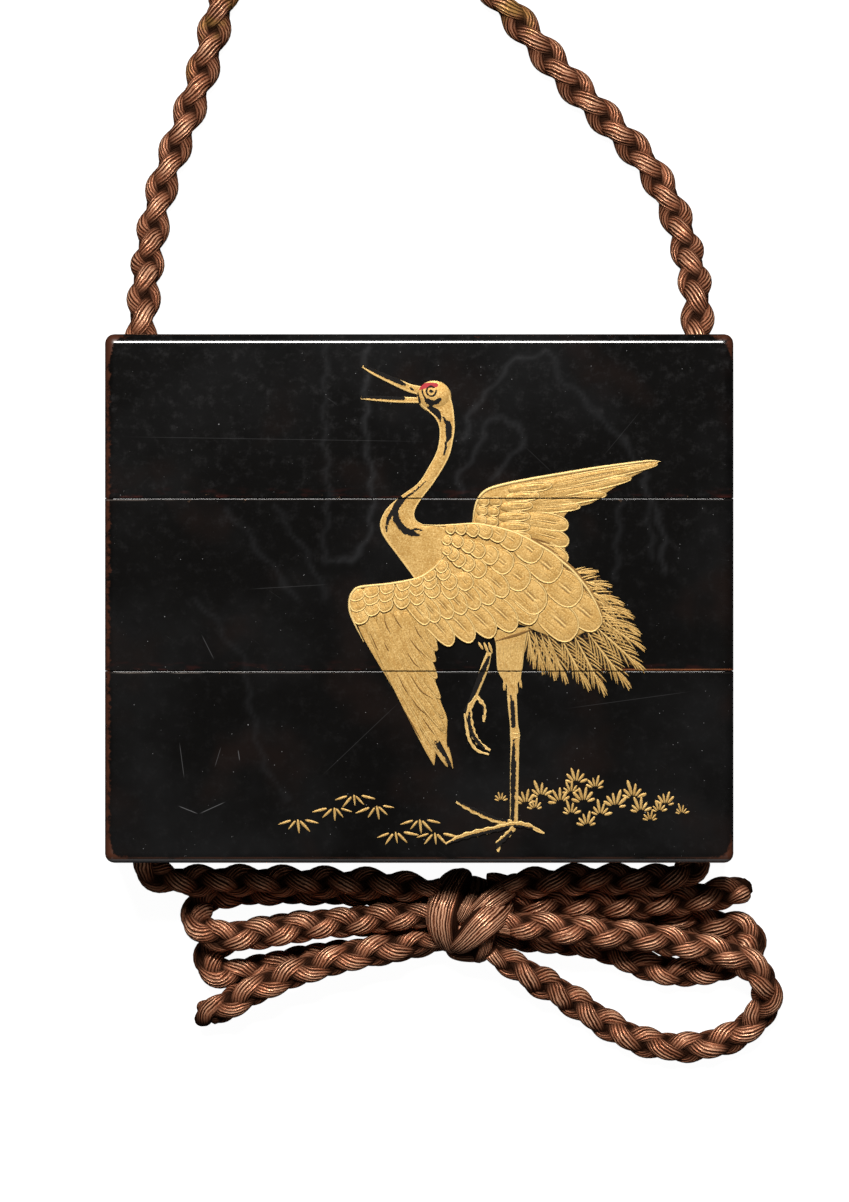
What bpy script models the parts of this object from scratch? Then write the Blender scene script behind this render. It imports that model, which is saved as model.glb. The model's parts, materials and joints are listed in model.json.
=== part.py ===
"""Three-piece inro case lying on its back, with its braided silk cord tied in a bow below it.

X is the case's width, +Y points to the lid and +Z out of the decorated front. Z = 0 is the surface it lies on, and
X = Y = 0 is the middle of the case. Run it with blender --background --python part.py or from the text editor.
"""

import math

import bmesh
import bpy
import numpy as np
from mathutils import Matrix, Vector

# Driving dimensions, in metres.
MM = 0.001
WIDTH = 75.0 * MM
DEPTH = 20.0 * MM
LID_HEIGHT = 19.6 * MM
MIDDLE_HEIGHT = 20.6 * MM
BOTTOM_HEIGHT = 22.9 * MM
HEIGHT = LID_HEIGHT + MIDDLE_HEIGHT + BOTTOM_HEIGHT

SEAM_GAP = 0.3 * MM  # between the rims of two pieces that stand on each other
EDGE_RADIUS = 1.1 * MM  # outer long edges, and the edges of the two ends
RIM_RADIUS = 0.15 * MM  # edges along a seam
WALL = 1.4 * MM  # front and back, beside a recess
END_PLATE = 2.0 * MM  # lid's top, and each floor
FIT_GAP = 0.3 * MM  # between a riser and the recess that slides over it
RISER_WALL = 1.1 * MM
RISER_HEIGHT = 5.5 * MM
COMPARTMENT_WIDTH = 56.0 * MM
COMPARTMENT_CORNER = 1.5 * MM

CHANNEL_DIAMETER = 5.0 * MM
CHANNEL_X = 33.4 * MM  # to each side of the middle
CORD_DIAMETER = 3.8 * MM
SQUEEZE = 0.74  # share of its diameter that a cord keeps where it enters the knot
SQUEEZE_LENGTH = 9.0 * MM
CORD_STEP = 5.5 * MM  # between two points of a cord's tube
CORD_STEP_TIGHT = 1.6 * MM  # the same in its tightest bends
CUT_MARGIN = 2.0 * MM  # how far a cutter runs past the face that it opens

# Raised lacquer on the front: how high each layer of the crane stands over the face.
RELIEF_ROOT = 0.5 * MM  # how deep the layers reach into the wall
TAIL_RELIEF, BACK_WING_RELIEF, LEG_RELIEF = 0.16 * MM, 0.22 * MM, 0.20 * MM
NECK_RELIEF, BODY_RELIEF, FRONT_WING_RELIEF = 0.28 * MM, 0.34 * MM, 0.42 * MM
OUTLINE_STEPS = 3  # points from each outline point to the next

# Worked out from the dimensions above.
TOP_Y = HEIGHT / 2
LID_SEAM_Y = TOP_Y - LID_HEIGHT
BOTTOM_SEAM_Y = -TOP_Y + BOTTOM_HEIGHT
MIDDLE_Z = DEPTH / 2
RECESS_DEPTH = DEPTH - 2 * WALL
RISER_DEPTH = RECESS_DEPTH - 2 * FIT_GAP
COMPARTMENT_DEPTH = RISER_DEPTH - 2 * RISER_WALL
RISER_WIDTH = COMPARTMENT_WIDTH + 2 * RISER_WALL
RECESS_WIDTH = RISER_WIDTH + 2 * FIT_GAP

# Routes of the cord's centre line, in millimetres. It is limp and rests on the surface, on the stretches below it
# and in the channels.
MAIN_ROUTE = (
    (0.2, -34.9, 7.6), (-5, -34.5, 6.8), (-11, -34.3, 6.4), (-18, -34.1, 6.4), (-24.5, -34.0, 7.0),
    (-29.3, -34.0, 8.3), (-32.3, -32.9, 9.6), (-33.4, -30.2, 10), (-33.4, -24, 10), (-33.4, 0, 10),
    (-33.4, 24, 10), (-33.5, 31, 10), (-33.2, 36.5, 8.4), (-32.7, 42, 4.6), (-31.8, 47.5, 2.4),
    (-30.6, 52, 2.1), (-29, 56.2, 2.1), (-27.2, 61.2, 2.1), (-25.6, 66.4, 2.1), (-23.9, 72.8, 2.1),
    (-22.2, 79, 2.1), (-18.6, 85.4, 2.1), (-12.6, 89, 2.1), (-5.6, 88.3, 2.1), (0.4, 84, 2.1),
    (5.2, 78.6, 2.1), (10, 72.6, 2.1), (14.6, 67, 2.1), (18.8, 62.2, 2.1), (23.8, 57, 2.1), (27.9, 52.4, 2.1),
    (30.7, 47.4, 2.4), (32.3, 42.6, 4.4), (33.4, 37, 8.2), (33.5, 31, 10), (33.4, 24, 10), (33.4, 0, 10),
    (33.4, -24, 10), (33.4, -30.2, 10), (32.3, -32.9, 9.8), (29, -33.9, 9.2), (24, -33.8, 8.7), (18, -33.9, 8.7),
    (13.5, -34.3, 8.5), (10.8, -34.5, 8.2),
)
LEFT_FRONT_LOOP_ROUTE = (
    (0.2, -36.3, 3.6), (-3, -35.9, 2.6), (-8, -35.5, 2.1), (-15, -35.4, 2.1), (-20.5, -35.5, 2.1),
    (-24.2, -35.9, 2.2), (-26.4, -36.9, 3.0), (-27.0, -38.5, 4.3), (-26.2, -40.0, 5.6), (-23.8, -40.8, 6.3),
    (-18, -40.4, 6.4), (-12.8, -39.5, 6.4), (-7.5, -38.9, 6.6), (-2.2, -38.4, 7.2), (0.2, -38.3, 7.4),
)
LEFT_BACK_LOOP_ROUTE = (
    (0.2, -38.9, 2.1), (-5, -39.3, 2.1), (-11, -39.4, 2.1), (-17, -40.0, 2.1), (-21, -40.8, 2.1),
    (-23.9, -41.6, 2.1), (-25.4, -42.8, 2.1), (-25.6, -44.2, 2.1), (-24.4, -45.4, 2.1), (-21.8, -45.5, 2.1),
    (-17.5, -44.6, 2.1), (-12, -43.5, 2.1), (-6, -42.9, 2.1), (-1, -42.2, 2.1), (0.4, -41.9, 2.1),
)
RIGHT_FRONT_LOOP_ROUTE = (
    (10.8, -39.4, 8.0), (13.5, -39.6, 8.5), (18, -40.0, 8.4), (23, -40.5, 7.9), (28, -41.0, 6.9),
    (33, -42.0, 6.3), (37.6, -43.1, 6.3), (40.8, -45.0, 6.2), (42.1, -47.7, 4.6), (41.3, -50.4, 2.9),
    (38.8, -52.8, 2.2), (34.8, -54.2, 2.1), (30.4, -54.4, 2.1), (25.9, -53.3, 2.1), (21.6, -50.9, 2.2),
    (17.9, -48.3, 3.0), (14.4, -46.2, 4.8), (12.0, -44.7, 5.9), (10.5, -43.8, 6.4),
)
RIGHT_BACK_LOOP_ROUTE = (
    (10.8, -38.0, 2.6), (14, -37.5, 2.1), (18, -37.3, 2.1), (24, -37.6, 2.1), (29, -38.2, 2.1), (33, -39.0, 2.1),
    (36.5, -39.6, 2.1), (39, -40.1, 2.1), (40.4, -41.4, 2.1), (40.2, -42.8, 2.1), (38.6, -43.9, 2.1),
    (36, -44.8, 2.1), (32.5, -45.3, 2.1), (29, -45.0, 2.1), (26, -43.9, 2.1), (23, -42.6, 2.1),
    (19.5, -41.7, 2.1), (15, -41.3, 2.1), (11.2, -41.1, 2.1),
)
LEFT_TAIL_ROUTE = (
    (0.2, -41.3, 5.0), (-2.5, -41.9, 5.6), (-6, -42.7, 6.0), (-10.1, -43.7, 6.2), (-15.5, -45.4, 6.2),
    (-20, -47.4, 6.0), (-23.6, -49.4, 4.6), (-26.8, -51.0, 2.4),
)
RIGHT_TAIL_ROUTE = (
    (10.8, -36.8, 5.6), (13.5, -36.9, 6.0), (18.9, -36.9, 6.0), (24.2, -37.0, 6.0), (29.5, -36.6, 6.0),
    (34.7, -36.0, 5.8), (38, -35.4, 4.6), (40.6, -35.2, 3.6),
)
KNOT_LOW = Vector((0.8, -44.4, 0.2)) * MM
KNOT_HIGH = Vector((10.2, -33.0, 9.8)) * MM
KNOT_ROUNDING = 3.0 * MM
BAND_START, BAND_END = Vector((7.8, -34.6, 8.0)) * MM, Vector((3.6, -43.2, 8.0)) * MM
BAND_RADIUS = 2.3 * MM

# Outlines of the crane on the front, in millimetres from the middle of the face.
HEAD_CENTRE, HEAD_RADIUS = (1.4, 24.4), 1.75
BODY_OUTLINE = (
    (-2.6, 12.0), (-4.2, 10.3), (-4.7, 8.6), (-3.9, 6.9), (-2.0, 4.6), (0.5, 1.5), (4.5, -2.2), (9, -5.0),
    (13.5, -6.8), (18, -7.2), (21.2, -6.0), (22.1, -3.6), (20.4, -0.2), (16.8, 3.4), (13.2, 6.4), (9.6, 8.2),
    (6.3, 8.9), (0.6, 8.8), (-0.7, 10.0), (-0.6, 11.4),
)
BACK_WING_OUTLINE = (
    (6.5, 8.6), (6.4, 10.4), (6.9, 11.9), (7.9, 12.9), (10.6, 13.6), (14.5, 14.0), (19.4, 14.8), (25.2, 16.0),
    (28.9, 16.4), (27.4, 15.3), (25.0, 14.0), (23.0, 13.1), (21.0, 11.6), (18.6, 10.4), (17.7, 9.2), (17.9, 7.0),
    (17.9, 4.3), (15.0, 1.5), (9.0, 4.5),
)
FRONT_WING_OUTLINE = (
    (-8.4, -0.3), (-7.4, 1.2), (-4, 2.0), (-0.6, 2.5), (2.4, 4.6), (5.2, 6.2), (8.4, 4.8), (10.6, 0.5), (10.8, -3),
    (8.9, -5.1), (5.6, -5.6), (3.4, -6.2), (1.8, -6.4), (2.0, -9.6), (2.5, -12.5), (3.4, -16.1), (3.9, -20.3),
    (2.8, -18.3), (1.7, -19.8), (0.5, -17.1), (-1.7, -12.9), (-4.4, -8.8), (-6.2, -5.8), (-7.8, -2.8),
)
TAIL_OUTLINE = (
    (14.0, 2.0), (17.5, 3.3), (21.6, 2.9), (22.6, 1.4), (25.2, -0.8), (25.4, -3.0), (26.7, -5.2), (26.0, -6.8),
    (27.0, -9.0), (25.2, -10.8), (22.2, -11.7), (20.0, -10.4), (17.4, -10.5), (14.4, -9.2), (11.4, -8.4), (10, -4),
)
# Strokes: (x, y, width) from end to end.
NECK_STROKE = (
    (1.9, 24.0, 2.6), (2.9, 22.7, 2.3), (3.4, 20.9, 1.9), (3.1, 18.4, 1.9), (2.0, 15.9, 2.1), (0.3, 13.2, 2.6),
    (-1.8, 11.0, 3.8), (-2.4, 9.0, 4.0),
)
UPPER_BEAK_STROKE = ((-6.7, 27.6, 0.3), (-3.4, 26.1, 0.7), (-0.1, 24.6, 0.9), (0.8, 24.3, 0.9))
LOWER_BEAK_STROKE = ((-6.8, 23.9, 0.3), (-3.4, 23.8, 0.6), (-0.1, 23.5, 0.8), (0.9, 23.6, 0.8))
STANDING_LEG_STROKE = (
    (10.9, -6.0, 4.2), (11.0, -8.4, 2.6), (11.1, -10.4, 1.3), (11.3, -13.0, 0.8), (11.5, -16.1, 1.0),
    (11.4, -21.0, 0.9), (11.3, -26.9, 1.1),
)
RAISED_LEG_STROKE = ((9.0, -5.6, 0.9), (7.6, -9.2, 0.8), (6.0, -12.8, 1.1), (6.1, -15.8, 1.0), (8.3, -18.4, 0.5))
TOE_STROKES = (
    ((11.3, -26.9, 0.9), (8.0, -26.0, 0.8), (4.6, -24.4, 0.4)),
    ((11.3, -26.9, 1.1), (7.6, -27.4, 0.9), (3.4, -29.2, 0.4)),
    ((11.0, -26.9, 0.9), (12.9, -27.0, 0.8), (14.7, -27.9, 0.4)),
    ((11.3, -27.0, 0.9), (10.0, -28.6, 0.9), (8.3, -30.2, 0.4)),
    ((6.9, -12.0, 0.5), (7.6, -13.4, 0.6), (7.8, -14.7, 0.4)),
)


def clear_scene():
    for old in list(bpy.data.objects):
        bpy.data.objects.remove(old, do_unlink=True)


def new_collection(name):
    found = bpy.data.collections.new(name)
    bpy.context.scene.collection.children.link(found)
    return found


def finish(name, colour, roughness, metallic=0.0):
    """A material with one plain colour."""
    material = bpy.data.materials.new(name)
    material.use_nodes = True
    shader = material.node_tree.nodes["Principled BSDF"]
    shader.inputs["Base Color"].default_value = (*colour, 1.0)
    shader.inputs["Roughness"].default_value = roughness
    shader.inputs["Metallic"].default_value = metallic
    material.diffuse_color = (*colour, 1.0)
    return material


def add_object(name, data, collection, location=(0, 0, 0)):
    added = bpy.data.objects.new(name, data)
    added.location = location
    collection.objects.link(added)
    return added


def add_block(name, low, high, collection, material=None):
    """A cuboid from its lowest to its highest corner, with its origin in its middle."""
    low, high = Vector(low), Vector(high)
    shape = bmesh.new()
    bmesh.ops.create_cube(shape, size=1.0, matrix=Matrix.Diagonal((*(high - low), 1.0)))
    mesh = bpy.data.meshes.new(name)
    shape.to_mesh(mesh)
    shape.free()
    if material:
        mesh.materials.append(material)
    return add_object(name, mesh, collection, (low + high) / 2)


def add_bevel(target, width, segments=3, by_weight=False):
    bevel = target.modifiers.new("rounded edges", "BEVEL")
    bevel.width = width
    bevel.segments = segments
    bevel.limit_method = "WEIGHT" if by_weight else "ANGLE"
    bevel.use_clamp_overlap = False


def weigh_case_edges(block, rims):
    """Gives the edges round each rim (-1 for the end at low Y, 1 for the end at high Y) the rim's small radius."""
    shape = bmesh.new()
    shape.from_mesh(block.data)
    weight = shape.edges.layers.float.new("bevel_weight_edge")
    for edge in shape.edges:
        ends = [math.copysign(1, corner.co.y) for corner in edge.verts]
        at_rim = ends[0] == ends[1] and ends[0] in rims
        edge[weight] = RIM_RADIUS / EDGE_RADIUS if at_rim else 1.0
    shape.to_mesh(block.data)
    shape.free()


def as_cutter(target):
    target.hide_render = True
    target.display_type = "WIRE"
    return target


def add_boolean(target, other, operation, solver="EXACT"):
    cut = target.modifiers.new(other.name, "BOOLEAN")
    cut.operation = operation
    cut.solver = solver
    cut.object = other


def add_hollow(target, name, width, depth, low_y, high_y, cutters):
    """Cuts a straight hollow with rounded corners along Y."""
    hollow = add_block(
        name,
        (-width / 2, low_y, MIDDLE_Z - depth / 2),
        (width / 2, high_y, MIDDLE_Z + depth / 2),
        cutters,
    )
    add_bevel(hollow, COMPARTMENT_CORNER)
    add_boolean(target, as_cutter(hollow), "DIFFERENCE")


def add_riser(target, name, seam_y, cutters):
    """The raised wall at a box's mouth, which the piece above slides over."""
    riser = add_block(
        name,
        (-RISER_WIDTH / 2, seam_y - END_PLATE, MIDDLE_Z - RISER_DEPTH / 2),
        (RISER_WIDTH / 2, seam_y + RISER_HEIGHT, MIDDLE_Z + RISER_DEPTH / 2),
        cutters,
        target.data.materials[0],
    )
    add_bevel(riser, COMPARTMENT_CORNER / 2)
    add_boolean(target, as_cutter(riser), "UNION")


def add_channels(target, cutters):
    """Bores the cord's channel through both sides, along Y."""
    for side, sign in (("left", -1), ("right", 1)):
        shape = bmesh.new()
        bmesh.ops.create_cone(
            shape,
            cap_ends=True,
            segments=32,
            radius1=CHANNEL_DIAMETER / 2,
            radius2=CHANNEL_DIAMETER / 2,
            depth=HEIGHT + 2 * CUT_MARGIN,
            matrix=Matrix.Rotation(math.radians(90), 4, "X"),
        )
        mesh = bpy.data.meshes.new("channel")
        shape.to_mesh(mesh)
        shape.free()
        channel = add_object(f"{target.name}_{side}_channel", mesh, cutters, (sign * CHANNEL_X, 0, MIDDLE_Z))
        add_boolean(target, as_cutter(channel), "DIFFERENCE")


def smooth_points(points, steps, closed=False):
    """Points on a smooth curve through the given ones: each stretch is the cubic whose slope at a point is half the
    way from the point before it to the one after it."""
    points = np.array(points, float)
    if closed:
        around = np.concatenate([points[-1:], points, points[:2]])
    else:
        before, after = 2 * points[:1] - points[1:2], 2 * points[-1:] - points[-2:-1]
        around = np.concatenate([before, points, after])
    p0, p1, p2, p3 = (around[i : len(around) - 3 + i, None] for i in range(4))
    t = np.linspace(0, 1, steps, endpoint=False)[None, :, None]
    slope1, slope2 = (p2 - p0) / 2, (p3 - p1) / 2
    curve = (
        (2 * t**3 - 3 * t**2 + 1) * p1
        + (t**3 - 2 * t**2 + t) * slope1
        + (3 * t**2 - 2 * t**3) * p2
        + (t**3 - t**2) * slope2
    ).reshape(-1, points.shape[1])
    return curve if closed else np.concatenate([curve, points[-1:]])


def stroke_outline(stroke):
    """The outline of a stroke whose points give x, y and width: left side out, right side back."""
    line = smooth_points(stroke, OUTLINE_STEPS)
    along = np.gradient(line[:, :2], axis=0)
    along /= np.linalg.norm(along, axis=1)[:, None]
    across = np.stack([-along[:, 1], along[:, 0]], axis=1) * line[:, 2:] / 2
    return np.concatenate([line[:, :2] + across, (line[:, :2] - across)[::-1]])


def add_plate(name, outline, relief, gold, cutters):
    """A flat plate with the given outline in millimetres, from inside the front wall to its relief above it."""
    curve = bpy.data.curves.new(name, "CURVE")
    curve.dimensions = "2D"
    curve.fill_mode = "BOTH"
    thickness = RELIEF_ROOT + relief
    curve.extrude = thickness / 2
    spline = curve.splines.new("POLY")
    spline.points.add(len(outline) - 1)
    spline.use_cyclic_u = True
    for point, (x, y) in zip(spline.points, outline):
        point.co = (x * MM, y * MM, 0, 1)
    flat = add_object(name, curve, cutters, (0, 0, DEPTH - RELIEF_ROOT + thickness / 2))
    return as_mesh(flat, gold, cutters)


def as_mesh(source, material, collection):
    """Replaces a curve object with a mesh object of the same name, with its caps welded."""
    bpy.context.view_layer.update()
    evaluated = source.evaluated_get(bpy.context.evaluated_depsgraph_get())
    mesh = bpy.data.meshes.new_from_object(evaluated)
    shape = bmesh.new()
    shape.from_mesh(mesh)
    bmesh.ops.remove_doubles(shape, verts=shape.verts, dist=0.001 * MM)
    bmesh.ops.recalc_face_normals(shape, faces=shape.faces)
    shape.to_mesh(mesh)
    shape.free()
    mesh.materials.clear()
    mesh.materials.append(material)
    name, place, old_data = source.name, source.matrix_world.copy(), source.data
    bpy.data.objects.remove(source, do_unlink=True)
    bpy.data.curves.remove(old_data)
    made = add_object(name, mesh, collection)
    made.matrix_world = place
    return made


def crane_plates():
    """Name, outline and relief of each layer of the crane, the lowest first."""
    turn = np.linspace(0, math.tau, 24, endpoint=False)
    head = np.stack([np.cos(turn), np.sin(turn)], axis=1) * HEAD_RADIUS + HEAD_CENTRE
    plates = [
        ("tail", smooth_points(TAIL_OUTLINE, 1, closed=True), TAIL_RELIEF),
        ("standing_leg", stroke_outline(STANDING_LEG_STROKE), LEG_RELIEF),
        ("raised_leg", stroke_outline(RAISED_LEG_STROKE), LEG_RELIEF * 1.1),
        ("back_wing", smooth_points(BACK_WING_OUTLINE, OUTLINE_STEPS, closed=True), BACK_WING_RELIEF),
        ("upper_beak", stroke_outline(UPPER_BEAK_STROKE), LEG_RELIEF),
        ("lower_beak", stroke_outline(LOWER_BEAK_STROKE), LEG_RELIEF * 1.1),
        ("neck", stroke_outline(NECK_STROKE), NECK_RELIEF),
        ("head", head, NECK_RELIEF * 1.2),
        ("body", smooth_points(BODY_OUTLINE, OUTLINE_STEPS, closed=True), BODY_RELIEF),
        ("front_wing", smooth_points(FRONT_WING_OUTLINE, OUTLINE_STEPS, closed=True), FRONT_WING_RELIEF),
    ]
    for number, toe in enumerate(TOE_STROKES):
        plates.append((f"toe_{number + 1}", stroke_outline(toe), LEG_RELIEF * (1.2 + 0.1 * number)))
    return plates


def add_crane(target, low_y, high_y, gold, cutters):
    """Adds to one box the layers of the crane that lie on its front, each cut off at the box's seams."""
    for name, outline, relief in crane_plates():
        lowest, highest = outline[:, 1].min() * MM, outline[:, 1].max() * MM
        if highest < low_y or lowest > high_y:
            continue
        plate = as_cutter(add_plate(f"{target.name}_{name}", outline, relief, gold, cutters))
        if lowest < low_y or highest > high_y:
            reach = WIDTH / 2
            span = add_block(
                f"{plate.name}_span",
                (-reach, low_y, DEPTH - 2 * RELIEF_ROOT),
                (reach, high_y, DEPTH + 2 * RELIEF_ROOT),
                cutters,
            )
            add_boolean(plate, as_cutter(span), "INTERSECT")
        add_boolean(target, plate, "UNION", solver="MANIFOLD")  # EXACT leaves the lid open at the crane's head


def shade(target):
    target.data.shade_smooth()
    target.data.set_sharp_from_angle(angle=math.radians(35))


def add_lid(parts, cutters, lacquer, gold):
    low_y = LID_SEAM_Y + SEAM_GAP / 2
    lid = add_block("lid", (-WIDTH / 2, low_y, 0), (WIDTH / 2, TOP_Y, DEPTH), parts, lacquer)
    weigh_case_edges(lid, rims=(-1,))
    add_bevel(lid, EDGE_RADIUS, segments=4, by_weight=True)
    add_hollow(lid, "lid_hollow", RECESS_WIDTH, RECESS_DEPTH, low_y - CUT_MARGIN, TOP_Y - END_PLATE, cutters)
    add_channels(lid, cutters)
    add_crane(lid, low_y + RIM_RADIUS, TOP_Y, gold, cutters)
    shade(lid)


def add_middle_case(parts, cutters, lacquer, gold):
    low_y, high_y = BOTTOM_SEAM_Y + SEAM_GAP / 2, LID_SEAM_Y - SEAM_GAP / 2
    case = add_block("middle_case", (-WIDTH / 2, low_y, 0), (WIDTH / 2, high_y, DEPTH), parts, lacquer)
    weigh_case_edges(case, rims=(-1, 1))
    add_bevel(case, EDGE_RADIUS, segments=4, by_weight=True)
    add_riser(case, "middle_riser", high_y, cutters)
    recess_top = BOTTOM_SEAM_Y + RISER_HEIGHT + FIT_GAP
    add_hollow(case, "middle_recess", RECESS_WIDTH, RECESS_DEPTH, low_y - CUT_MARGIN, recess_top, cutters)
    floor_y, mouth_y = recess_top + END_PLATE, high_y + RISER_HEIGHT + CUT_MARGIN
    add_hollow(case, "middle_compartment", COMPARTMENT_WIDTH, COMPARTMENT_DEPTH, floor_y, mouth_y, cutters)
    add_channels(case, cutters)
    add_crane(case, low_y + RIM_RADIUS, high_y - RIM_RADIUS, gold, cutters)
    shade(case)


def add_bottom_case(parts, cutters, lacquer, gold):
    high_y = BOTTOM_SEAM_Y - SEAM_GAP / 2
    case = add_block("bottom_case", (-WIDTH / 2, -TOP_Y, 0), (WIDTH / 2, high_y, DEPTH), parts, lacquer)
    weigh_case_edges(case, rims=(1,))
    add_bevel(case, EDGE_RADIUS, segments=4, by_weight=True)
    add_riser(case, "bottom_riser", high_y, cutters)
    floor_y, mouth_y = -TOP_Y + END_PLATE, high_y + RISER_HEIGHT + CUT_MARGIN
    add_hollow(case, "bottom_compartment", COMPARTMENT_WIDTH, COMPARTMENT_DEPTH, floor_y, mouth_y, cutters)
    add_channels(case, cutters)
    add_crane(case, -TOP_Y, high_y - RIM_RADIUS, gold, cutters)
    shade(case)


def cord_points(route):
    """Points along a cord's smooth route in metres, closer together where it bends."""
    line = smooth_points(route, 16) * MM
    steps = np.linalg.norm(np.diff(line, axis=0), axis=1)
    heading = np.diff(line, axis=0) / steps[:, None]
    turned = np.arccos(np.clip((heading[1:] * heading[:-1]).sum(axis=1), -1, 1))
    bend = np.concatenate([turned[:1], turned]) / steps
    wanted = np.clip(0.35 / np.maximum(bend, 1), CORD_STEP_TIGHT, CORD_STEP)
    progress = np.concatenate([[0], np.cumsum(steps / wanted)])
    count = round(progress[-1])
    at = np.linspace(0, progress[-1], count + 1)
    return np.stack([np.interp(at, progress, line[:, axis]) for axis in range(3)], axis=1)


def add_cord(name, route, parts, silk, squeezed_ends=2):
    """A round tube along the route, thinner at its start, and at its end too unless that end is free."""
    points = cord_points(route)
    length = np.concatenate([[0], np.cumsum(np.linalg.norm(np.diff(points, axis=0), axis=1))])
    reach = np.minimum(length, length[-1] - length) if squeezed_ends == 2 else length
    share = np.clip(reach / SQUEEZE_LENGTH, 0, 1)
    radius = SQUEEZE + (1 - SQUEEZE) * share**2 * (3 - 2 * share)
    curve = bpy.data.curves.new(name, "CURVE")
    curve.dimensions = "3D"
    curve.bevel_depth = CORD_DIAMETER / 2
    curve.bevel_resolution = 2
    curve.use_fill_caps = True
    curve.materials.append(silk)
    spline = curve.splines.new("POLY")
    spline.points.add(len(points) - 1)
    for point, place, share_left in zip(spline.points, points, radius):
        point.co = (*place, 1)
        point.radius = share_left
    return add_object(name, curve, parts)


def add_knot(parts, cutters, silk):
    """The bow's knot: a soft rounded mass with the cord's last turn lying slanting over it."""
    knot = add_block("bow_knot", KNOT_LOW, KNOT_HIGH, parts, silk)
    add_bevel(knot, KNOT_ROUNDING, segments=4)
    shape = bmesh.new()
    bmesh.ops.create_uvsphere(shape, u_segments=20, v_segments=12, radius=1.0)
    reach = (BAND_END - BAND_START).length / 2 + BAND_RADIUS
    bmesh.ops.scale(shape, vec=(BAND_RADIUS, BAND_RADIUS, reach), verts=shape.verts)
    mesh = bpy.data.meshes.new("band")
    shape.to_mesh(mesh)
    shape.free()
    mesh.materials.append(silk)
    band = add_object("knot_band", mesh, cutters, (BAND_START + BAND_END) / 2)
    band.rotation_euler = (BAND_END - BAND_START).to_track_quat("Z", "X").to_euler()
    add_boolean(knot, as_cutter(band), "UNION")
    shade(knot)


def main():
    clear_scene()
    parts = new_collection("inro_case")
    cutters = new_collection("cutters_and_guides")
    lacquer = finish("black lacquer", (0.012, 0.011, 0.010), 0.28)
    gold = finish("gold raised lacquer", (0.66, 0.44, 0.17), 0.42, 0.7)
    silk = finish("brown silk braid", (0.19, 0.085, 0.048), 0.6)
    add_lid(parts, cutters, lacquer, gold)
    add_middle_case(parts, cutters, lacquer, gold)
    add_bottom_case(parts, cutters, lacquer, gold)
    add_cord("main_cord", MAIN_ROUTE, parts, silk)
    add_cord("bow_loop_left_front", LEFT_FRONT_LOOP_ROUTE, parts, silk)
    add_cord("bow_loop_left_back", LEFT_BACK_LOOP_ROUTE, parts, silk)
    add_cord("bow_loop_right_front", RIGHT_FRONT_LOOP_ROUTE, parts, silk)
    add_cord("bow_loop_right_back", RIGHT_BACK_LOOP_ROUTE, parts, silk)
    add_cord("bow_tail_left", LEFT_TAIL_ROUTE, parts, silk, squeezed_ends=1)
    add_cord("bow_tail_right", RIGHT_TAIL_ROUTE, parts, silk, squeezed_ends=1)
    add_knot(parts, cutters, silk)


main()
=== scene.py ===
"""Looks of a three-piece inro case, built round its packed model.

Three boxes of black lacquer stacked on each other, a crane and plants in raised gold on their front, and
the braided silk cord that runs down both sides and is tied in a bow below. X is the case's width, +Y
points to the lid and +Z out of the decorated front. Lengths are in metres, and outlines and routes in
millimetres.
"""

import json
import math
from contextlib import contextmanager
from functools import partialmethod

import bmesh
import bpy
import numpy as np
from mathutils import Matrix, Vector


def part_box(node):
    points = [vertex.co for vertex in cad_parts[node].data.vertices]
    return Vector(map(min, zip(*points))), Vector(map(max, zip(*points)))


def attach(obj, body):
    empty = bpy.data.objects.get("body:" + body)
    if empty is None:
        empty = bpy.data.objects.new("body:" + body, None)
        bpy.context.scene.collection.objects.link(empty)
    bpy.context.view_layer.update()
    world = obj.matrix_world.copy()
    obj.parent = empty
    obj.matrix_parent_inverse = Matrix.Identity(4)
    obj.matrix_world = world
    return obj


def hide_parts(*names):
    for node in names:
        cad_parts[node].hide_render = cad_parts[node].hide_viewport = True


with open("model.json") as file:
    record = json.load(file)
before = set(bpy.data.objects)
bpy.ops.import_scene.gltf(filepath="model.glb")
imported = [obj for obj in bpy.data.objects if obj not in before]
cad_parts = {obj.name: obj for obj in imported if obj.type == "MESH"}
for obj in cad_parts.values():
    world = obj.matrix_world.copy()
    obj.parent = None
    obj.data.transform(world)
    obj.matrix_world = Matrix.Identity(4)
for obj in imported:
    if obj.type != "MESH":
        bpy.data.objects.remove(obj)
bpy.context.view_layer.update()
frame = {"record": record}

bl_info = {
    "name": "Inro Case",
    "version": (1, 0, 0),
    "blender": (4, 5, 0),
    "location": "3D View > Sidebar > Inro",
    "description": "Builds a lacquered three-piece case with a gold crane and a braided silk cord",
    "category": "Add Mesh",
}

MM = 0.001

# The case's frame, from the packed model.
LID_LOW, LID_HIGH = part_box("lid")
MIDDLE_LOW, MIDDLE_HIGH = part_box("middle_case")
BOTTOM_LOW, BOTTOM_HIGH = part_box("bottom_case")
HALF_WIDTH = LID_HIGH.x
TOP_Y = LID_HIGH.y
BASE_Y = BOTTOM_LOW.y
LID_MOUNT = next(mount for mount in frame["record"]["mounts"] if mount["name"] == "lid_top")
MIDDLE_Z = LID_MOUNT["pos_m"][2]
FACE_Z = 2 * MIDDLE_Z
RISER_HEIGHT = 5.5 * MM
MIDDLE_RIM_Y = MIDDLE_HIGH.y - RISER_HEIGHT  # the rims that the piece above stands on
BOTTOM_RIM_Y = BOTTOM_HIGH.y - RISER_HEIGHT
LID_SEAM_Y = (LID_LOW.y + MIDDLE_RIM_Y) / 2
BOTTOM_SEAM_Y = (MIDDLE_LOW.y + BOTTOM_RIM_Y) / 2
SEAM_PLAY = 0.02 * MM  # how far the rim of a lacquered piece lies from the middle of a seam

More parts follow.
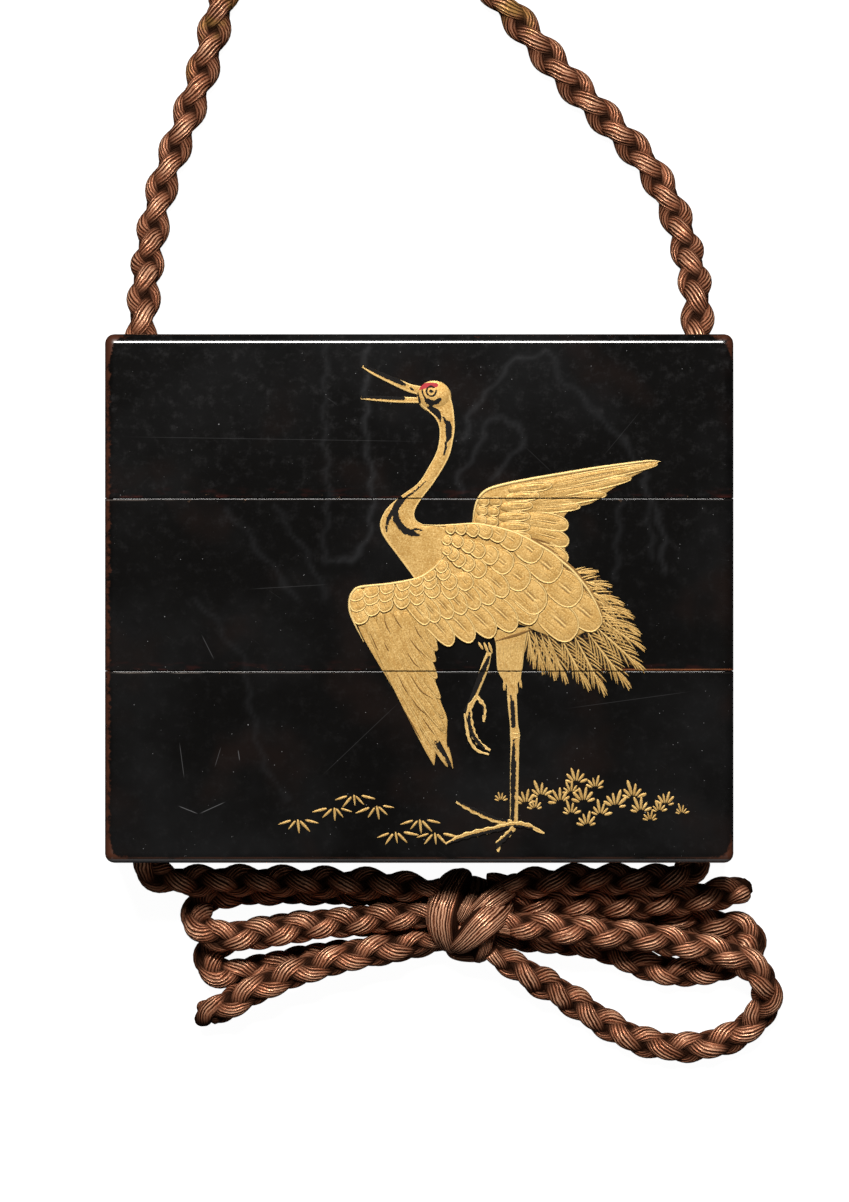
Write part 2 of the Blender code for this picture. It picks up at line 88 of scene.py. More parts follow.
# Inside of the boxes.
WALL = 1.4 * MM
END_PLATE = 2.0 * MM
FIT_GAP = 0.3 * MM
RISER_WALL = 1.1 * MM
COMPARTMENT_HALF_WIDTH = 28.0 * MM
COMPARTMENT_CORNER = 1.5 * MM
CHANNEL_X = 33.4 * MM
CHANNEL_RADIUS = 2.5 * MM
CHANNEL_FLARE = 0.35 * MM  # rounding of a channel's mouth at the two ends of the case

# Routes of the cord's centre line, the same as its solids in the packed model follow.
MAIN_ROUTE = (
    (0.2, -34.9, 7.6), (-5, -34.5, 6.8), (-11, -34.3, 6.4), (-18, -34.1, 6.4), (-24.5, -34.0, 7.0),
    (-29.3, -34.0, 8.3), (-32.3, -32.9, 9.6), (-33.4, -30.2, 10), (-33.4, -24, 10), (-33.4, 0, 10),
    (-33.4, 24, 10), (-33.5, 31, 10), (-33.2, 36.5, 8.4), (-32.7, 42, 4.6), (-31.8, 47.5, 2.4),
    (-30.6, 52, 2.1), (-29, 56.2, 2.1), (-27.2, 61.2, 2.1), (-25.6, 66.4, 2.1), (-23.9, 72.8, 2.1),
    (-22.2, 79, 2.1), (-18.6, 85.4, 2.1), (-12.6, 89, 2.1), (-5.6, 88.3, 2.1), (0.4, 84, 2.1),
    (5.2, 78.6, 2.1), (10, 72.6, 2.1), (14.6, 67, 2.1), (18.8, 62.2, 2.1), (23.8, 57, 2.1),
    (27.9, 52.4, 2.1), (30.7, 47.4, 2.4), (32.3, 42.6, 4.4), (33.4, 37, 8.2), (33.5, 31, 10), (33.4, 24, 10),
    (33.4, 0, 10), (33.4, -24, 10), (33.4, -30.2, 10), (32.3, -32.9, 9.8), (29, -33.9, 9.2),
    (24, -33.8, 8.7), (18, -33.9, 8.7), (13.5, -34.3, 8.5), (10.8, -34.5, 8.2),
)
LEFT_FRONT_LOOP_ROUTE = (
    (0.2, -36.3, 3.6), (-3, -35.9, 2.6), (-8, -35.5, 2.1), (-15, -35.4, 2.1), (-20.5, -35.5, 2.1),
    (-24.2, -35.9, 2.2), (-26.4, -36.9, 3.0), (-27.0, -38.5, 4.3), (-26.2, -40.0, 5.6), (-23.8, -40.8, 6.3),
    (-18, -40.4, 6.4), (-12.8, -39.5, 6.4), (-7.5, -38.9, 6.6), (-2.2, -38.4, 7.2), (0.2, -38.3, 7.4),
)
LEFT_BACK_LOOP_ROUTE = (
    (0.2, -38.9, 2.1), (-5, -39.3, 2.1), (-11, -39.4, 2.1), (-17, -40.0, 2.1), (-21, -40.8, 2.1),
    (-23.9, -41.6, 2.1), (-25.4, -42.8, 2.1), (-25.6, -44.2, 2.1), (-24.4, -45.4, 2.1), (-21.8, -45.5, 2.1),
    (-17.5, -44.6, 2.1), (-12, -43.5, 2.1), (-6, -42.9, 2.1), (-1, -42.2, 2.1), (0.4, -41.9, 2.1),
)
RIGHT_FRONT_LOOP_ROUTE = (
    (10.8, -39.4, 8.0), (13.5, -39.6, 8.5), (18, -40.0, 8.4), (23, -40.5, 7.9), (28, -41.0, 6.9),
    (33, -42.0, 6.3), (37.6, -43.1, 6.3), (40.8, -45.0, 6.2), (42.1, -47.7, 4.6), (41.3, -50.4, 2.9),
    (38.8, -52.8, 2.2), (34.8, -54.2, 2.1), (30.4, -54.4, 2.1), (25.9, -53.3, 2.1), (21.6, -50.9, 2.2),
    (17.9, -48.3, 3.0), (14.4, -46.2, 4.8), (12.0, -44.7, 5.9), (10.5, -43.8, 6.4),
)
RIGHT_BACK_LOOP_ROUTE = (
    (10.8, -38.0, 2.6), (14, -37.5, 2.1), (18, -37.3, 2.1), (24, -37.6, 2.1), (29, -38.2, 2.1),
    (33, -39.0, 2.1), (36.5, -39.6, 2.1), (39, -40.1, 2.1), (40.4, -41.4, 2.1), (40.2, -42.8, 2.1),
    (38.6, -43.9, 2.1), (36, -44.8, 2.1), (32.5, -45.3, 2.1), (29, -45.0, 2.1), (26, -43.9, 2.1),
    (23, -42.6, 2.1), (19.5, -41.7, 2.1), (15, -41.3, 2.1), (11.2, -41.1, 2.1),
)
LEFT_TAIL_ROUTE = (
    (0.2, -41.3, 5.0), (-2.5, -41.9, 5.6), (-6, -42.7, 6.0), (-10.1, -43.7, 6.2), (-15.5, -45.4, 6.2),
    (-20, -47.4, 6.0), (-23.6, -49.4, 4.6), (-26.8, -51.0, 2.4),
)
RIGHT_TAIL_ROUTE = (
    (10.8, -36.8, 5.6), (13.5, -36.9, 6.0), (18.9, -36.9, 6.0), (24.2, -37.0, 6.0), (29.5, -36.6, 6.0),
    (34.7, -36.0, 5.8), (38, -35.4, 4.6), (40.6, -35.2, 3.6),
)
# Name of the piece and of the solid that it replaces, its route, whether its end is free, and, in radians,
# how far its braid is turned in its first and in its second half, and its phase.
CORDS = (
    ("braid_main", "main_cord", MAIN_ROUTE, False, (0.0, 1.57), 0.4),
    ("braid_left_front", "bow_loop_left_front", LEFT_FRONT_LOOP_ROUTE, False, (0.8, 0.8), 1.1),
    ("braid_left_back", "bow_loop_left_back", LEFT_BACK_LOOP_ROUTE, False, (0.5, 0.6), 2.0),
    ("braid_right_front", "bow_loop_right_front", RIGHT_FRONT_LOOP_ROUTE, False, (0.9, 0.4), 0.2),
    ("braid_right_back", "bow_loop_right_back", RIGHT_BACK_LOOP_ROUTE, False, (1.0, 0.6), 1.5),
    ("braid_tail_left", "bow_tail_left", LEFT_TAIL_ROUTE, True, (0.7, 0.7), 0.9),
    ("braid_tail_right", "bow_tail_right", RIGHT_TAIL_ROUTE, True, (1.0, 1.0), 2.6),
)
KNOT_RUN = 2.4 * MM  # how far a cord's end runs on inside the knot
# The knot's turns, each by points of its centre line: x, y, z, half the width and half the thickness, in
# millimetres.
KNOT_BANDS = (
    ((5.4, -33.4, 3.2, 1.9, 1.4), (4.3, -34.4, 6.4, 2.0, 1.5), (3.3, -36.2, 8.2, 2.1, 1.6),
     (2.75, -38.2, 8.6, 2.1, 1.6), (2.95, -40.0, 7.8, 1.9, 1.5), (3.6, -41.6, 6.2, 1.5, 1.3),
     (4.4, -42.3, 4.2, 1.2, 1.1)),
    ((4.9, -39.0, 7.6, 0.7, 0.7), (5.3, -38.3, 9.0, 0.9, 0.9), (5.75, -37.4, 9.5, 0.95, 0.9),
     (6.2, -36.4, 8.8, 0.8, 0.8), (6.6, -35.4, 6.8, 0.7, 0.7)),
    ((5.9, -39.0, 7.6, 0.9, 0.9), (6.9, -37.8, 9.2, 1.2, 1.1), (8.3, -36.6, 9.6, 1.4, 1.2),
     (9.9, -35.5, 8.6, 1.5, 1.2), (11.4, -34.5, 6.2, 1.3, 1.1), (12.0, -34.1, 3.6, 1.0, 1.0)),
    ((9.6, -36.2, 4.0, 1.7, 1.1), (10.0, -36.7, 7.0, 1.9, 1.2), (9.0, -37.9, 9.2, 2.0, 1.3),
     (7.4, -39.4, 10.0, 1.9, 1.3), (5.8, -41.0, 9.2, 1.5, 1.2), (4.7, -41.9, 7.2, 1.2, 1.1),
     (4.6, -41.9, 5.0, 1.0, 1.0)),
    ((3.4, -41.6, 3.2, 0.8, 0.8), (4.4, -42.6, 4.4, 0.9, 1.1), (6.0, -42.8, 5.2, 1.0, 1.2),
     (7.4, -42.6, 5.2, 1.0, 1.2), (8.1, -41.8, 4.4, 0.8, 1.0)),
    ((7.9, -39.9, 6.8, 0.8, 0.8), (7.85, -41.3, 7.8, 1.0, 0.9), (7.6, -42.6, 7.0, 1.05, 0.9),
     (7.3, -43.2, 5.0, 1.0, 0.9), (7.0, -43.0, 3.0, 0.8, 0.8)),
    ((7.6, -38.8, 7.0, 0.7, 0.7), (9.0, -39.4, 8.4, 0.85, 0.9), (10.5, -39.8, 8.4, 0.85, 0.9),
     (11.8, -40.4, 7.0, 0.7, 0.8), (12.3, -40.7, 5.4, 0.6, 0.6)),
    ((5.6, -35.0, 1.8, 4.0, 2.6), (5.6, -37.0, 5.2, 4.0, 2.6), (5.6, -39.6, 5.6, 4.0, 2.6),
     (5.6, -41.6, 2.6, 3.6, 2.4)),
)
KNOT_MIDDLE = (5.6, -38.6, 4.4)


# -----------------------------------------------------------------------------------------------------------
# Settings that a user would change
# -----------------------------------------------------------------------------------------------------------


def length_property(name, description, millimetres):
    return bpy.props.FloatProperty(
        name=name, description=description, default=millimetres * MM, min=0.0, unit="LENGTH", precision=5
    )


def colour_property(name, description, colour):
    return bpy.props.FloatVectorProperty(
        name=name, description=description, default=colour, min=0.0, max=1.0, size=3, subtype="COLOR"
    )


class InroBoxSettings(bpy.types.PropertyGroup):
    """Sizes and colours of the three lacquered boxes."""

    edge_radius: length_property("Edge Radius", "Rounding of the case's outer edges", 1.1)
    rim_radius: length_property("Rim Radius", "Rounding of the edges along a seam", 0.09)
    lacquer: colour_property("Lacquer", "Colour of the black lacquer", (0.0030, 0.0027, 0.0025))
    haze: colour_property("Haze", "Colour of the cloudy tide lines in the lacquer", (0.024, 0.0245, 0.027))
    worn: colour_property("Worn Lacquer", "Brown that shows where edges are rubbed", (0.085, 0.026, 0.012))
    dust: colour_property("Dust", "Colour of the fine specks and hairlines", (0.28, 0.28, 0.29))


class InroReliefSettings(bpy.types.PropertyGroup):
    """Colours of the raised picture."""

    gold: colour_property("Gold", "Colour of the raised gold lacquer", (0.46, 0.272, 0.078))
    # The rim gold is partly painted highlight on raised edges, and the groove brown is partly painted shadow
    # along edges and under overlaps.
    rim: colour_property("Rim Gold", "Paler gold on the rims of the feathers", (0.88, 0.64, 0.27))
    groove: colour_property("Groove", "Brown that lies in the engraved lines", (0.16, 0.075, 0.02))
    paint: colour_property("Black Paint", "Black lacquer brushed over the gold", (0.0060, 0.0045, 0.0040))
    crown: colour_property("Crown", "Red on top of the crane's head", (0.47, 0.026, 0.035))


class InroCordSettings(bpy.types.PropertyGroup):
    """Sizes and colours of the braided silk cord."""

    diameter: length_property("Diameter", "Diameter over the braid", 4.3)
    pitch: length_property("Braid Pitch", "Length along the cord from one strand's bulge to the next", 5.05)
    silk: colour_property("Silk", "Colour of the silk threads", (0.43, 0.132, 0.060))
    shade: colour_property("Silk Shade", "Colour between the threads", (0.0050, 0.0012, 0.0006))
    faded: colour_property("Faded Silk", "Golden colour of the faded stretch at the top", (0.62, 0.33, 0.09))


class InroStageSettings(bpy.types.PropertyGroup):
    """Camera and light."""

    camera_height: bpy.props.FloatProperty(
        name="Camera Height", description="Height of the camera over the floor", default=1.0, unit="LENGTH"
    )
    key_power: bpy.props.FloatProperty(
        name="Key Light", description="Power of the large light beyond the lid", default=13.4, unit="POWER"
    )
    fill_power: bpy.props.FloatProperty(
        name="Fill Light", description="Power of the light on the bow's side", default=0.4, unit="POWER"
    )
    floor: colour_property("Floor", "Colour of the pale floor", (0.24, 0.237, 0.234))


# -----------------------------------------------------------------------------------------------------------
# Materials
# -----------------------------------------------------------------------------------------------------------

# Colours in the lacquer besides those that the settings give.
CLOUD_COLOUR, WARM_CLOUD_COLOUR = (0.0125, 0.0126, 0.0132), (0.0135, 0.0075, 0.0060)
MOTTLE_COLOUR = (0.036, 0.035, 0.036)
SEAM_HIGHLIGHT_COLOUR, SEAM_ORANGE_COLOUR = (0.36, 0.30, 0.26), (0.26, 0.085, 0.032)
SEAM_RED_COLOUR, CHIP_COLOUR = (0.07, 0.014, 0.010), (0.33, 0.19, 0.11)
FLOOR_REFLECTION_COLOUR, FOOT_LINE_COLOUR = (0.105, 0.103, 0.106), (0.055, 0.024, 0.015)
# Wear and painted highlight along the seams, in millimetres: the seam's height, how far from the left its
# painted highlight line reaches, and from where to the right its orange wear line runs.
SEAM_WEAR_AND_HIGHLIGHT = ((LID_SEAM_Y / MM, -26.0, 40.0), (BOTTOM_SEAM_Y / MM, -6.0, 20.0))
# Hairlines on the front: start and end in millimetres, half the width and the strength.
HAIRLINES = (
    ((-36.5, 19.3), (1.5, 18.7), 0.05, 0.07),
    ((-20.6, 1.1), (-10.4, 1.7), 0.06, 0.07),
    ((-28.8, -24.7), (-26.3, -25.7), 0.06, 0.34),
    ((-26.3, -25.7), (-23.0, -24.2), 0.06, 0.30),
    ((-26.0, -4.2), (-24.4, -7.4), 0.07, 0.14),
    ((-28.6, -17.0), (-28.0, -21.6), 0.05, 0.20),
    ((-23.6, -17.6), (-24.4, -20.2), 0.05, 0.18),
    ((-21.6, -18.0), (-21.4, -19.4), 0.07, 0.28),
    ((21.8, 16.8), (26.6, 22.6), 0.05, 0.05),
    ((12.5, 18.2), (16.0, 14.9), 0.05, 0.05),
    ((-2.0, -12.0), (-12.0, -21.5), 0.05, 0.07),
    ((17.0, -13.2), (33.0, -11.0), 0.05, 0.07),
)
SCUFF_ANGLE = 0.6  # direction of the scuffs, in radians
GOLD_CLOUD_COLOUR = (0.74, 0.50, 0.19)
DARK_POWDER_COLOUR, BRIGHT_POWDER_COLOUR = (0.36, 0.185, 0.045), (0.90, 0.67, 0.31)
GOLD_METALLIC = 0.38
SILK_GLOSS_COLOUR = (0.90, 0.46, 0.30, 1.0)
SILK_SECOND_COLOUR, SILK_SHEEN_COLOUR = (0.25, 0.072, 0.032), (1.0, 0.54, 0.33)
KNOT_THREADS, BRAID_THREADS = (34, 0.55), (17, 0.35)  # threads round a strand, and their twist
FADING_START, FADING_END = 52.0, 80.0  # between these heights the cord fades, in millimetres
FLOOR_GLOW = 0.97


class Signal:
    """A node's output socket with Python's arithmetic: each operation adds one Math node to its material."""

    def __init__(self, finish, socket):
        self.finish = finish
        self.socket = socket

    def math(self, operation, *values):
        values = dict(enumerate((self, *values)))
        return self.finish.add("ShaderNodeMath", {"operation": operation}, values)

    def __rsub__(self, other):
        return self.finish.add("ShaderNodeMath", {"operation": "SUBTRACT"}, {0: other, 1: self})

    __add__ = __radd__ = partialmethod(math, "ADD")
    __sub__ = partialmethod(math, "SUBTRACT")
    __mul__ = __rmul__ = partialmethod(math, "MULTIPLY")
    __abs__ = partialmethod(math, "ABSOLUTE")
    sine = partialmethod(math, "SINE")
    greater = partialmethod(math, "MAXIMUM")
    lesser = partialmethod(math, "MINIMUM")

    def ramp(self, start, end):
        """0 up to start and 1 from end on, with a soft change between them; start may be the larger."""
        sockets = {"Value": self, "From Min": start, "From Max": end}
        return self.finish.add("ShaderNodeMapRange", {"interpolation_type": "SMOOTHSTEP"}, sockets)

    def band(self, low, high, soft):
        """1 between low and high and 0 outside them."""
        return self.ramp(low - soft, low + soft) * self.ramp(high + soft, high - soft)


class Finish:
    """A material with one Principled shader, and the means to add nodes to it."""

    def __init__(self, name, colour, roughness, **constants):
        self.material = bpy.data.materials.new(name)
        self.material.use_nodes = True
        self.tree = self.material.node_tree
        self.shader = self.tree.nodes["Principled BSDF"]
        self.material.diffuse_color = (*colour, 1.0)
        self.colour = tuple(colour)
        for socket, value in {"Base Color": (*colour, 1.0), "Roughness": roughness, **constants}.items():
            self.shader.inputs[socket.replace("_", " ")].default_value = value

    def add(self, kind, settings=None, sockets=None, output=0):
        """Adds a node with its settings, and values or links at its sockets. Returns one of its outputs."""
        node = self.tree.nodes.new(kind)
        for name, value in (settings or {}).items():
            setattr(node, name, value)
        for name, value in (sockets or {}).items():
            if isinstance(value, Signal):
                self.tree.links.new(value.socket, node.inputs[name])
            elif isinstance(value, tuple) and len(value) == 3 and node.inputs[name].type == "RGBA":
                node.inputs[name].default_value = (*value, 1.0)
            else:
                node.inputs[name].default_value = value
        return Signal(self, node.outputs[output])

    def drive(self, socket, signal):
        """Links a signal to one of the shader's sockets."""
        self.tree.links.new(signal.socket, self.shader.inputs[socket])

    def place(self):
        """Object coordinates in millimetres."""
        coordinates = self.add("ShaderNodeTexCoord", output="Object")
        return self.add("ShaderNodeVectorMath", {"operation": "SCALE"}, {0: coordinates, "Scale": 1 / MM})

    def axes(self, vector):
        return [self.add("ShaderNodeSeparateXYZ", None, {0: vector}, output=axis) for axis in range(3)]

    def stretched(self, vector, scales):
        return self.add("ShaderNodeVectorMath", {"operation": "MULTIPLY"}, {0: vector, 1: scales})

    def noise(self, vector, scale, detail=3.0, roughness=0.5):
        sockets = {"Vector": vector, "Scale": scale, "Detail": detail, "Roughness": roughness}
        return self.add("ShaderNodeTexNoise", None, sockets)

    def specks(self, vector, scale, radius, share):
        """Round spots of that radius, in that share of the cells of a scattered pattern."""
        sockets = {"Vector": vector, "Scale": scale}
        distance = self.add("ShaderNodeTexVoronoi", None, sockets, output="Distance")
        cell = self.add("ShaderNodeTexVoronoi", None, sockets, output="Color")
        chosen = self.axes(cell)[0].ramp(share, share - 0.01)
        return distance.ramp(radius * scale, 0.4 * radius * scale) * chosen

    def stored(self, name):
        """A value that the piece stores at its points."""
        return self.add("ShaderNodeAttribute", {"attribute_name": name}, output="Fac")

    def coat(self, share, colour):
        """Covers that share of what the material shows so far with a colour."""
        sockets = {0: share, 6: self.colour, 7: tuple(colour)}
        self.colour = self.add("ShaderNodeMix", {"data_type": "RGBA"}, sockets, output=2)

    def bump(self, height, strength, distance):
        """Bumps whose height signal of 1 stands for the distance."""
        sockets = {"Height": height, "Strength": strength, "Distance": distance}
        self.drive("Normal", self.add("ShaderNodeBump", None, sockets))

    def hairline(self, x, y, start, end, half_width):
        """1 on a straight line between two points of the face, thinning towards both ends.

        The point's distance along the line is its dot product with the line's direction, and its distance
        from the line the dot product with the direction turned by a quarter."""
        run = math.dist(start, end)
        along_x, along_y = (end[0] - start[0]) / run, (end[1] - start[1]) / run
        along = (x - start[0]) * along_x + (y - start[1]) * along_y
        aside = (y - start[1]) * along_x - (x - start[0]) * along_y
        return abs(aside).ramp(half_width, half_width * 0.3) * along.band(0.12 * run, 0.88 * run, 0.12 * run)


def lacquer_finish(settings):
    """Polished black lacquer: clouded, with tide lines, rubbed brown at the edges, chipped at the seams,
    with a painted highlight line under each seam and a painted floor reflection along the base.
    """
    finish = Finish("polished_black_lacquer", settings.lacquer, 0.2, Specular_IOR_Level=0.5)
    place = finish.place()
    x, y, z = finish.axes(place)
    on_front = z.ramp(FACE_Z / MM - 1.2, FACE_Z / MM - 0.5)
    cloud = finish.noise(place, 0.05, 4.0, 0.6)
    finish.coat(cloud.ramp(0.40, 0.72) * 0.6, CLOUD_COLOUR)
    warm = finish.noise(place, 0.09, 3.0)
    finish.coat(warm.ramp(0.5, 0.72) * 0.55, WARM_CLOUD_COLOUR)
    drift = finish.noise(place, 0.3, 3.0, 0.6).ramp(0.20, 0.50)
    finish.coat(finish.stored("haze") * drift * 0.42, settings.haze)
    mottle = finish.noise(place, 0.7, 6.0, 0.75).ramp(0.48, 0.80)
    finish.coat(mottle * (0.18 + 0.40 * y.ramp(-5.0, 30.0)), MOTTLE_COLOUR)

    # Wear: brown on the outer edges, most at the corners and on the left. Along the seams: orange, red and
    # chipped wear, and a painted highlight line on the rim below each seam.
    half_width, top, base = HALF_WIDTH / MM, TOP_Y / MM, BASE_Y / MM
    grain = finish.noise(place, 1.3, 5.0, 0.65)
    to_side = half_width - abs(x)
    to_end = (top - y).lesser(y - base)
    to_face = z.lesser(FACE_Z / MM - z)
    to_edge = to_side.lesser(to_end).greater(to_side.greater(to_end).lesser(to_face))
    corner = (to_side + to_end).ramp(4.5, 0.8)
    left = (x + half_width).ramp(1.6, 0.1)
    low = (y - base).ramp(2.2, 0.4)
    rubbed = grain * 0.9 + corner * 0.42 + left * 0.30 + low * 0.12 + to_edge.ramp(1.3, 0.2) * 0.25
    rubbed = rubbed.ramp(0.78, 1.02) * to_edge.ramp(2.0, 0.9)
    finish.coat(rubbed * 0.85, settings.worn)
    streaks = finish.noise(finish.stretched(place, (0.25, 2.5, 1.0)), 1.0, 4.0)
    for seam, highlight_until, orange_from in SEAM_WEAR_AND_HIGHLIGHT:
        # Painted highlight: a pale line on the rounding below the seam, where the light would catch it,
        # strongest at the left.
        beneath = y.band(seam - 0.30, seam - 0.14, 0.04)
        above = y.band(seam + 0.10, seam + 0.26, 0.05)
        pale = x.ramp(highlight_until, -37.0)
        light = streaks.ramp(0.36, 0.70)
        finish.coat(beneath * light * (0.03 + 0.40 * pale), SEAM_HIGHLIGHT_COLOUR)
        orange = above * x.ramp(orange_from, orange_from + 4.0) * streaks.ramp(0.30, 0.55)
        finish.coat(orange * 0.8, SEAM_ORANGE_COLOUR)
        chips = finish.noise(finish.stretched(place, (0.9, 1.6, 1.0)), 1.0, 5.0, 0.7)
        chipped = chips.ramp(0.64, 0.70) * abs(y - seam).ramp(0.7, 0.2)
        finish.coat(chipped * 0.8, CHIP_COLOUR)
        red = finish.noise(finish.stretched(place, (0.35, 1.2, 1.0)), 1.0, 3.0)
        reddened = red.ramp(0.5, 0.7) * above.greater((y - seam).ramp(1.6, 0.2) * 0.5)
        finish.coat(reddened * (y - seam).ramp(0.0, 0.1) * 0.5, SEAM_RED_COLOUR)
    # Painted reflection: a grey band along the base edge stands in for the floor reflected in the rounding
    # there.
    floor_reflection_band = y.band(base + 0.06, base + 0.46, 0.05)
    finish.coat(floor_reflection_band * 0.85, FLOOR_REFLECTION_COLOUR)
    line_above = y.band(base + 0.50, base + 0.72, 0.06) * streaks.ramp(0.30, 0.60)
    finish.coat(line_above * 0.7, FOOT_LINE_COLOUR)

    # Dust, fine specks and hairlines.
    fine = finish.specks(place, 0.28, 0.10, 0.62).greater(finish.specks(place, 0.75, 0.06, 0.75))
    faint = finish.specks(place, 1.1, 0.05, 0.6)
    marks = (fine * 0.75).greater(faint * 0.3)
    for start, end, half_line, strength in HAIRLINES:
        marks = marks.greater(finish.hairline(x, y, start, end, half_line) * strength)
    sockets = {"Vector": place, "Angle": SCUFF_ANGLE}
    tilted = finish.add("ShaderNodeVectorRotate", {"rotation_type": "Z_AXIS"}, sockets)
    scuffs = finish.noise(finish.stretched(tilted, (0.12, 3.2, 1.0)), 1.0, 6.0, 0.7).ramp(0.66, 0.80)
    marks = marks.greater(scuffs * finish.noise(place, 0.06, 2.0).ramp(0.46, 0.60) * 0.26)
    finish.coat(marks * on_front, settings.dust)
    finish.drive("Base Color", finish.colour)
    uneven = finish.noise(place, 0.12, 4.0) * 0.10 + finish.noise(place, 2.4, 3.0) * 0.04
    roughness = 0.09 + uneven * 0.6 + rubbed * 0.25 + marks * 0.3 + finish.stored("haze") * 0.06
    finish.drive("Roughness", roughness)
    finish.bump(grain * 0.4 + finish.noise(place, 0.22, 2.0), 0.25, 0.03 * MM)
    return finish.material


def gold_finish(settings):
    """Raised gold lacquer: metal powder, paler on the rims and partly with painted highlight there, brown in
    engraved lines and in painted shadow, with black and red.
    """
    finish = Finish("raised_gold_lacquer", settings.gold, 0.42, Specular_IOR_Level=0.12)
    place = finish.place()
    powder = finish.noise(place, 5.6, 3.0, 0.75)
    cloud = finish.noise(place, 0.6, 3.0)
    finish.coat(cloud.ramp(0.3, 0.7) * 0.35, GOLD_CLOUD_COLOUR)
    finish.coat(powder.ramp(0.51, 0.63) * 0.85, DARK_POWDER_COLOUR)
    finish.coat(powder.ramp(0.47, 0.32) * 0.50, BRIGHT_POWDER_COLOUR)
    across = finish.stored("across")
    wander = finish.noise(place, 0.8, 2.0) * 1.3
    barbs = (across * math.tau + wander * 2.0).sine()
    broken = finish.noise(finish.stretched(place, (0.9, 0.9, 1.0)), 1.0, 2.0).ramp(0.40, 0.58)
    barbs = barbs.ramp(0.55, 0.98) * finish.stored("lines") * broken
    groove = finish.stored("groove").greater(barbs * 0.75)
    # Pale rims: partly the rims' own paler gold and partly painted highlight on raised edges. Brown:
    # engraved lines, and painted shadow along feather edges, under overlaps and in the wedges.
    finish.coat(finish.stored("rim") * 0.75, settings.rim)
    finish.coat(groove.ramp(0.05, 1.0) * 0.85, settings.groove)
    finish.coat(finish.stored("red").ramp(0.35, 0.6), settings.crown)
    brush = finish.noise(place, 3.5, 4.0, 0.65)
    painted = (finish.stored("paint") * 1.1 + (brush - 0.5) * 1.5).ramp(0.38, 0.54)
    finish.coat(painted, settings.paint)
    finish.drive("Base Color", finish.colour)
    covered = painted.greater(finish.stored("red").ramp(0.35, 0.6))
    finish.drive("Metallic", GOLD_METALLIC - GOLD_METALLIC * covered)
    finish.drive("Roughness", 0.40 + powder * 0.16 + painted * 0.12 + groove * 0.15)
    finish.bump((powder * 0.35 - groove * 1.2) * (1.0 - painted), 0.9, 0.03 * MM)
    return finish.material


def silk_finish(settings, name, threads, twist):
    """Glossy silk: threads side by side round a strand, with painted shade in the gaps between them.

    The UV map runs once round the strand in U and along it in millimetres in V. The fibres are noise on the
    circle (cos U, sin U), stretched along V. The stored depth paints shade into what lies deep between the
    strands, and a painted sheen lightens their crowns."""
    gloss = {"Specular_IOR_Level": 0.4, "Specular_Tint": SILK_GLOSS_COLOUR}
    finish = Finish(name, settings.silk, 0.3, Metallic=0.35, **gloss)
    place = finish.place()
    around, along, _ = finish.axes(finish.add("ShaderNodeUVMap", {"uv_map": "threads"}))
    wobble = finish.noise(place, 0.9, 3.0, 0.6)
    turn = around * math.tau + along * (twist / threads)
    sockets = {"X": turn.sine() * 4.2, "Y": (turn + math.pi / 2).sine() * 4.2, "Z": along * 0.22}
    fibres = finish.noise(finish.add("ShaderNodeCombineXYZ", None, sockets), 1.0, 4.0, 0.62)
    ridge = (turn * threads + wobble * 5.0 + fibres * 3.5).sine() * 0.5 + 0.5
    height = ridge * 0.62 + fibres.ramp(0.30, 0.70) * 0.55
    depth = finish.stored("depth")
    # Painted shade: near-black in the gaps between the threads and deep between the strands.
    gaps = (height.ramp(0.66, 0.28) * 0.92).greater(depth.ramp(0.14, 0.38))
    hue = finish.noise(place, 0.35, 4.0, 0.6)
    finish.coat(hue.ramp(0.35, 0.7), SILK_SECOND_COLOUR)
    # Painted sheen: a highlight colour on the threads' crests, strongest on the strands' crowns.
    sheen = height.ramp(0.48, 0.86) * (0.35 + 0.65 * depth.ramp(0.18, 0.05))
    finish.coat(sheen, SILK_SHEEN_COLOUR)
    high = finish.axes(place)[1].ramp(FADING_START, FADING_END)
    fading = (finish.noise(place, 0.22, 3.0, 0.6) + high * 0.42).ramp(0.74, 0.92) * high.ramp(0.0, 0.5)
    finish.coat(fading * 0.85, settings.faded)
    finish.coat(gaps * 0.96, settings.shade)
    finish.drive("Base Color", finish.colour)
    finish.drive("Roughness", 0.25 + gaps * 0.4 + wobble * 0.10)
    finish.bump(height, 1.0, 0.12 * MM)
    return finish.material


def floor_finish(settings):
    """Pale matt floor that glows a little, so that shadows on it stay light."""
    glow = {"Emission_Color": (1.0, 1.0, 1.0, 1.0), "Emission_Strength": FLOOR_GLOW}
    return Finish("pale_floor", settings.floor, 0.9, **glow).material


# -----------------------------------------------------------------------------------------------------------
# Surfaces
# -----------------------------------------------------------------------------------------------------------


def smooth_points(points, steps):
    """Points on a smooth curve through the given ones: each stretch is the cubic whose slope at a point
    is half the way from the point before it to the one after it."""
    points = np.array(points, float)
    before, after = 2 * points[:1] - points[1:2], 2 * points[-1:] - points[-2:-1]
    around = np.concatenate([before, points, after])
    p0, p1, p2, p3 = (around[i : len(around) - 3 + i, None] for i in range(4))
    t = np.linspace(0, 1, steps, endpoint=False)[None, :, None]
    slope1, slope2 = (p2 - p0) / 2, (p3 - p1) / 2
    curve = (
        (2 * t**3 - 3 * t**2 + 1) * p1
        + (t**3 - 2 * t**2 + t) * slope1
        + (3 * t**2 - 2 * t**3) * p2
        + (t**3 - t**2) * slope2
    )
    return np.concatenate([curve.reshape(-1, points.shape[1]), points[-1:]])


def evenly(points, count):
    """That many points at equal distances along a smooth curve."""
    line = smooth_points(points, 12)
    return sample(line, np.linspace(0, 1, count) * run_along(line)[-1])


def run_along(line):
    """Distance from the first point to each point."""
    return np.concatenate([[0], np.cumsum(np.linalg.norm(np.diff(line, axis=0), axis=1))])


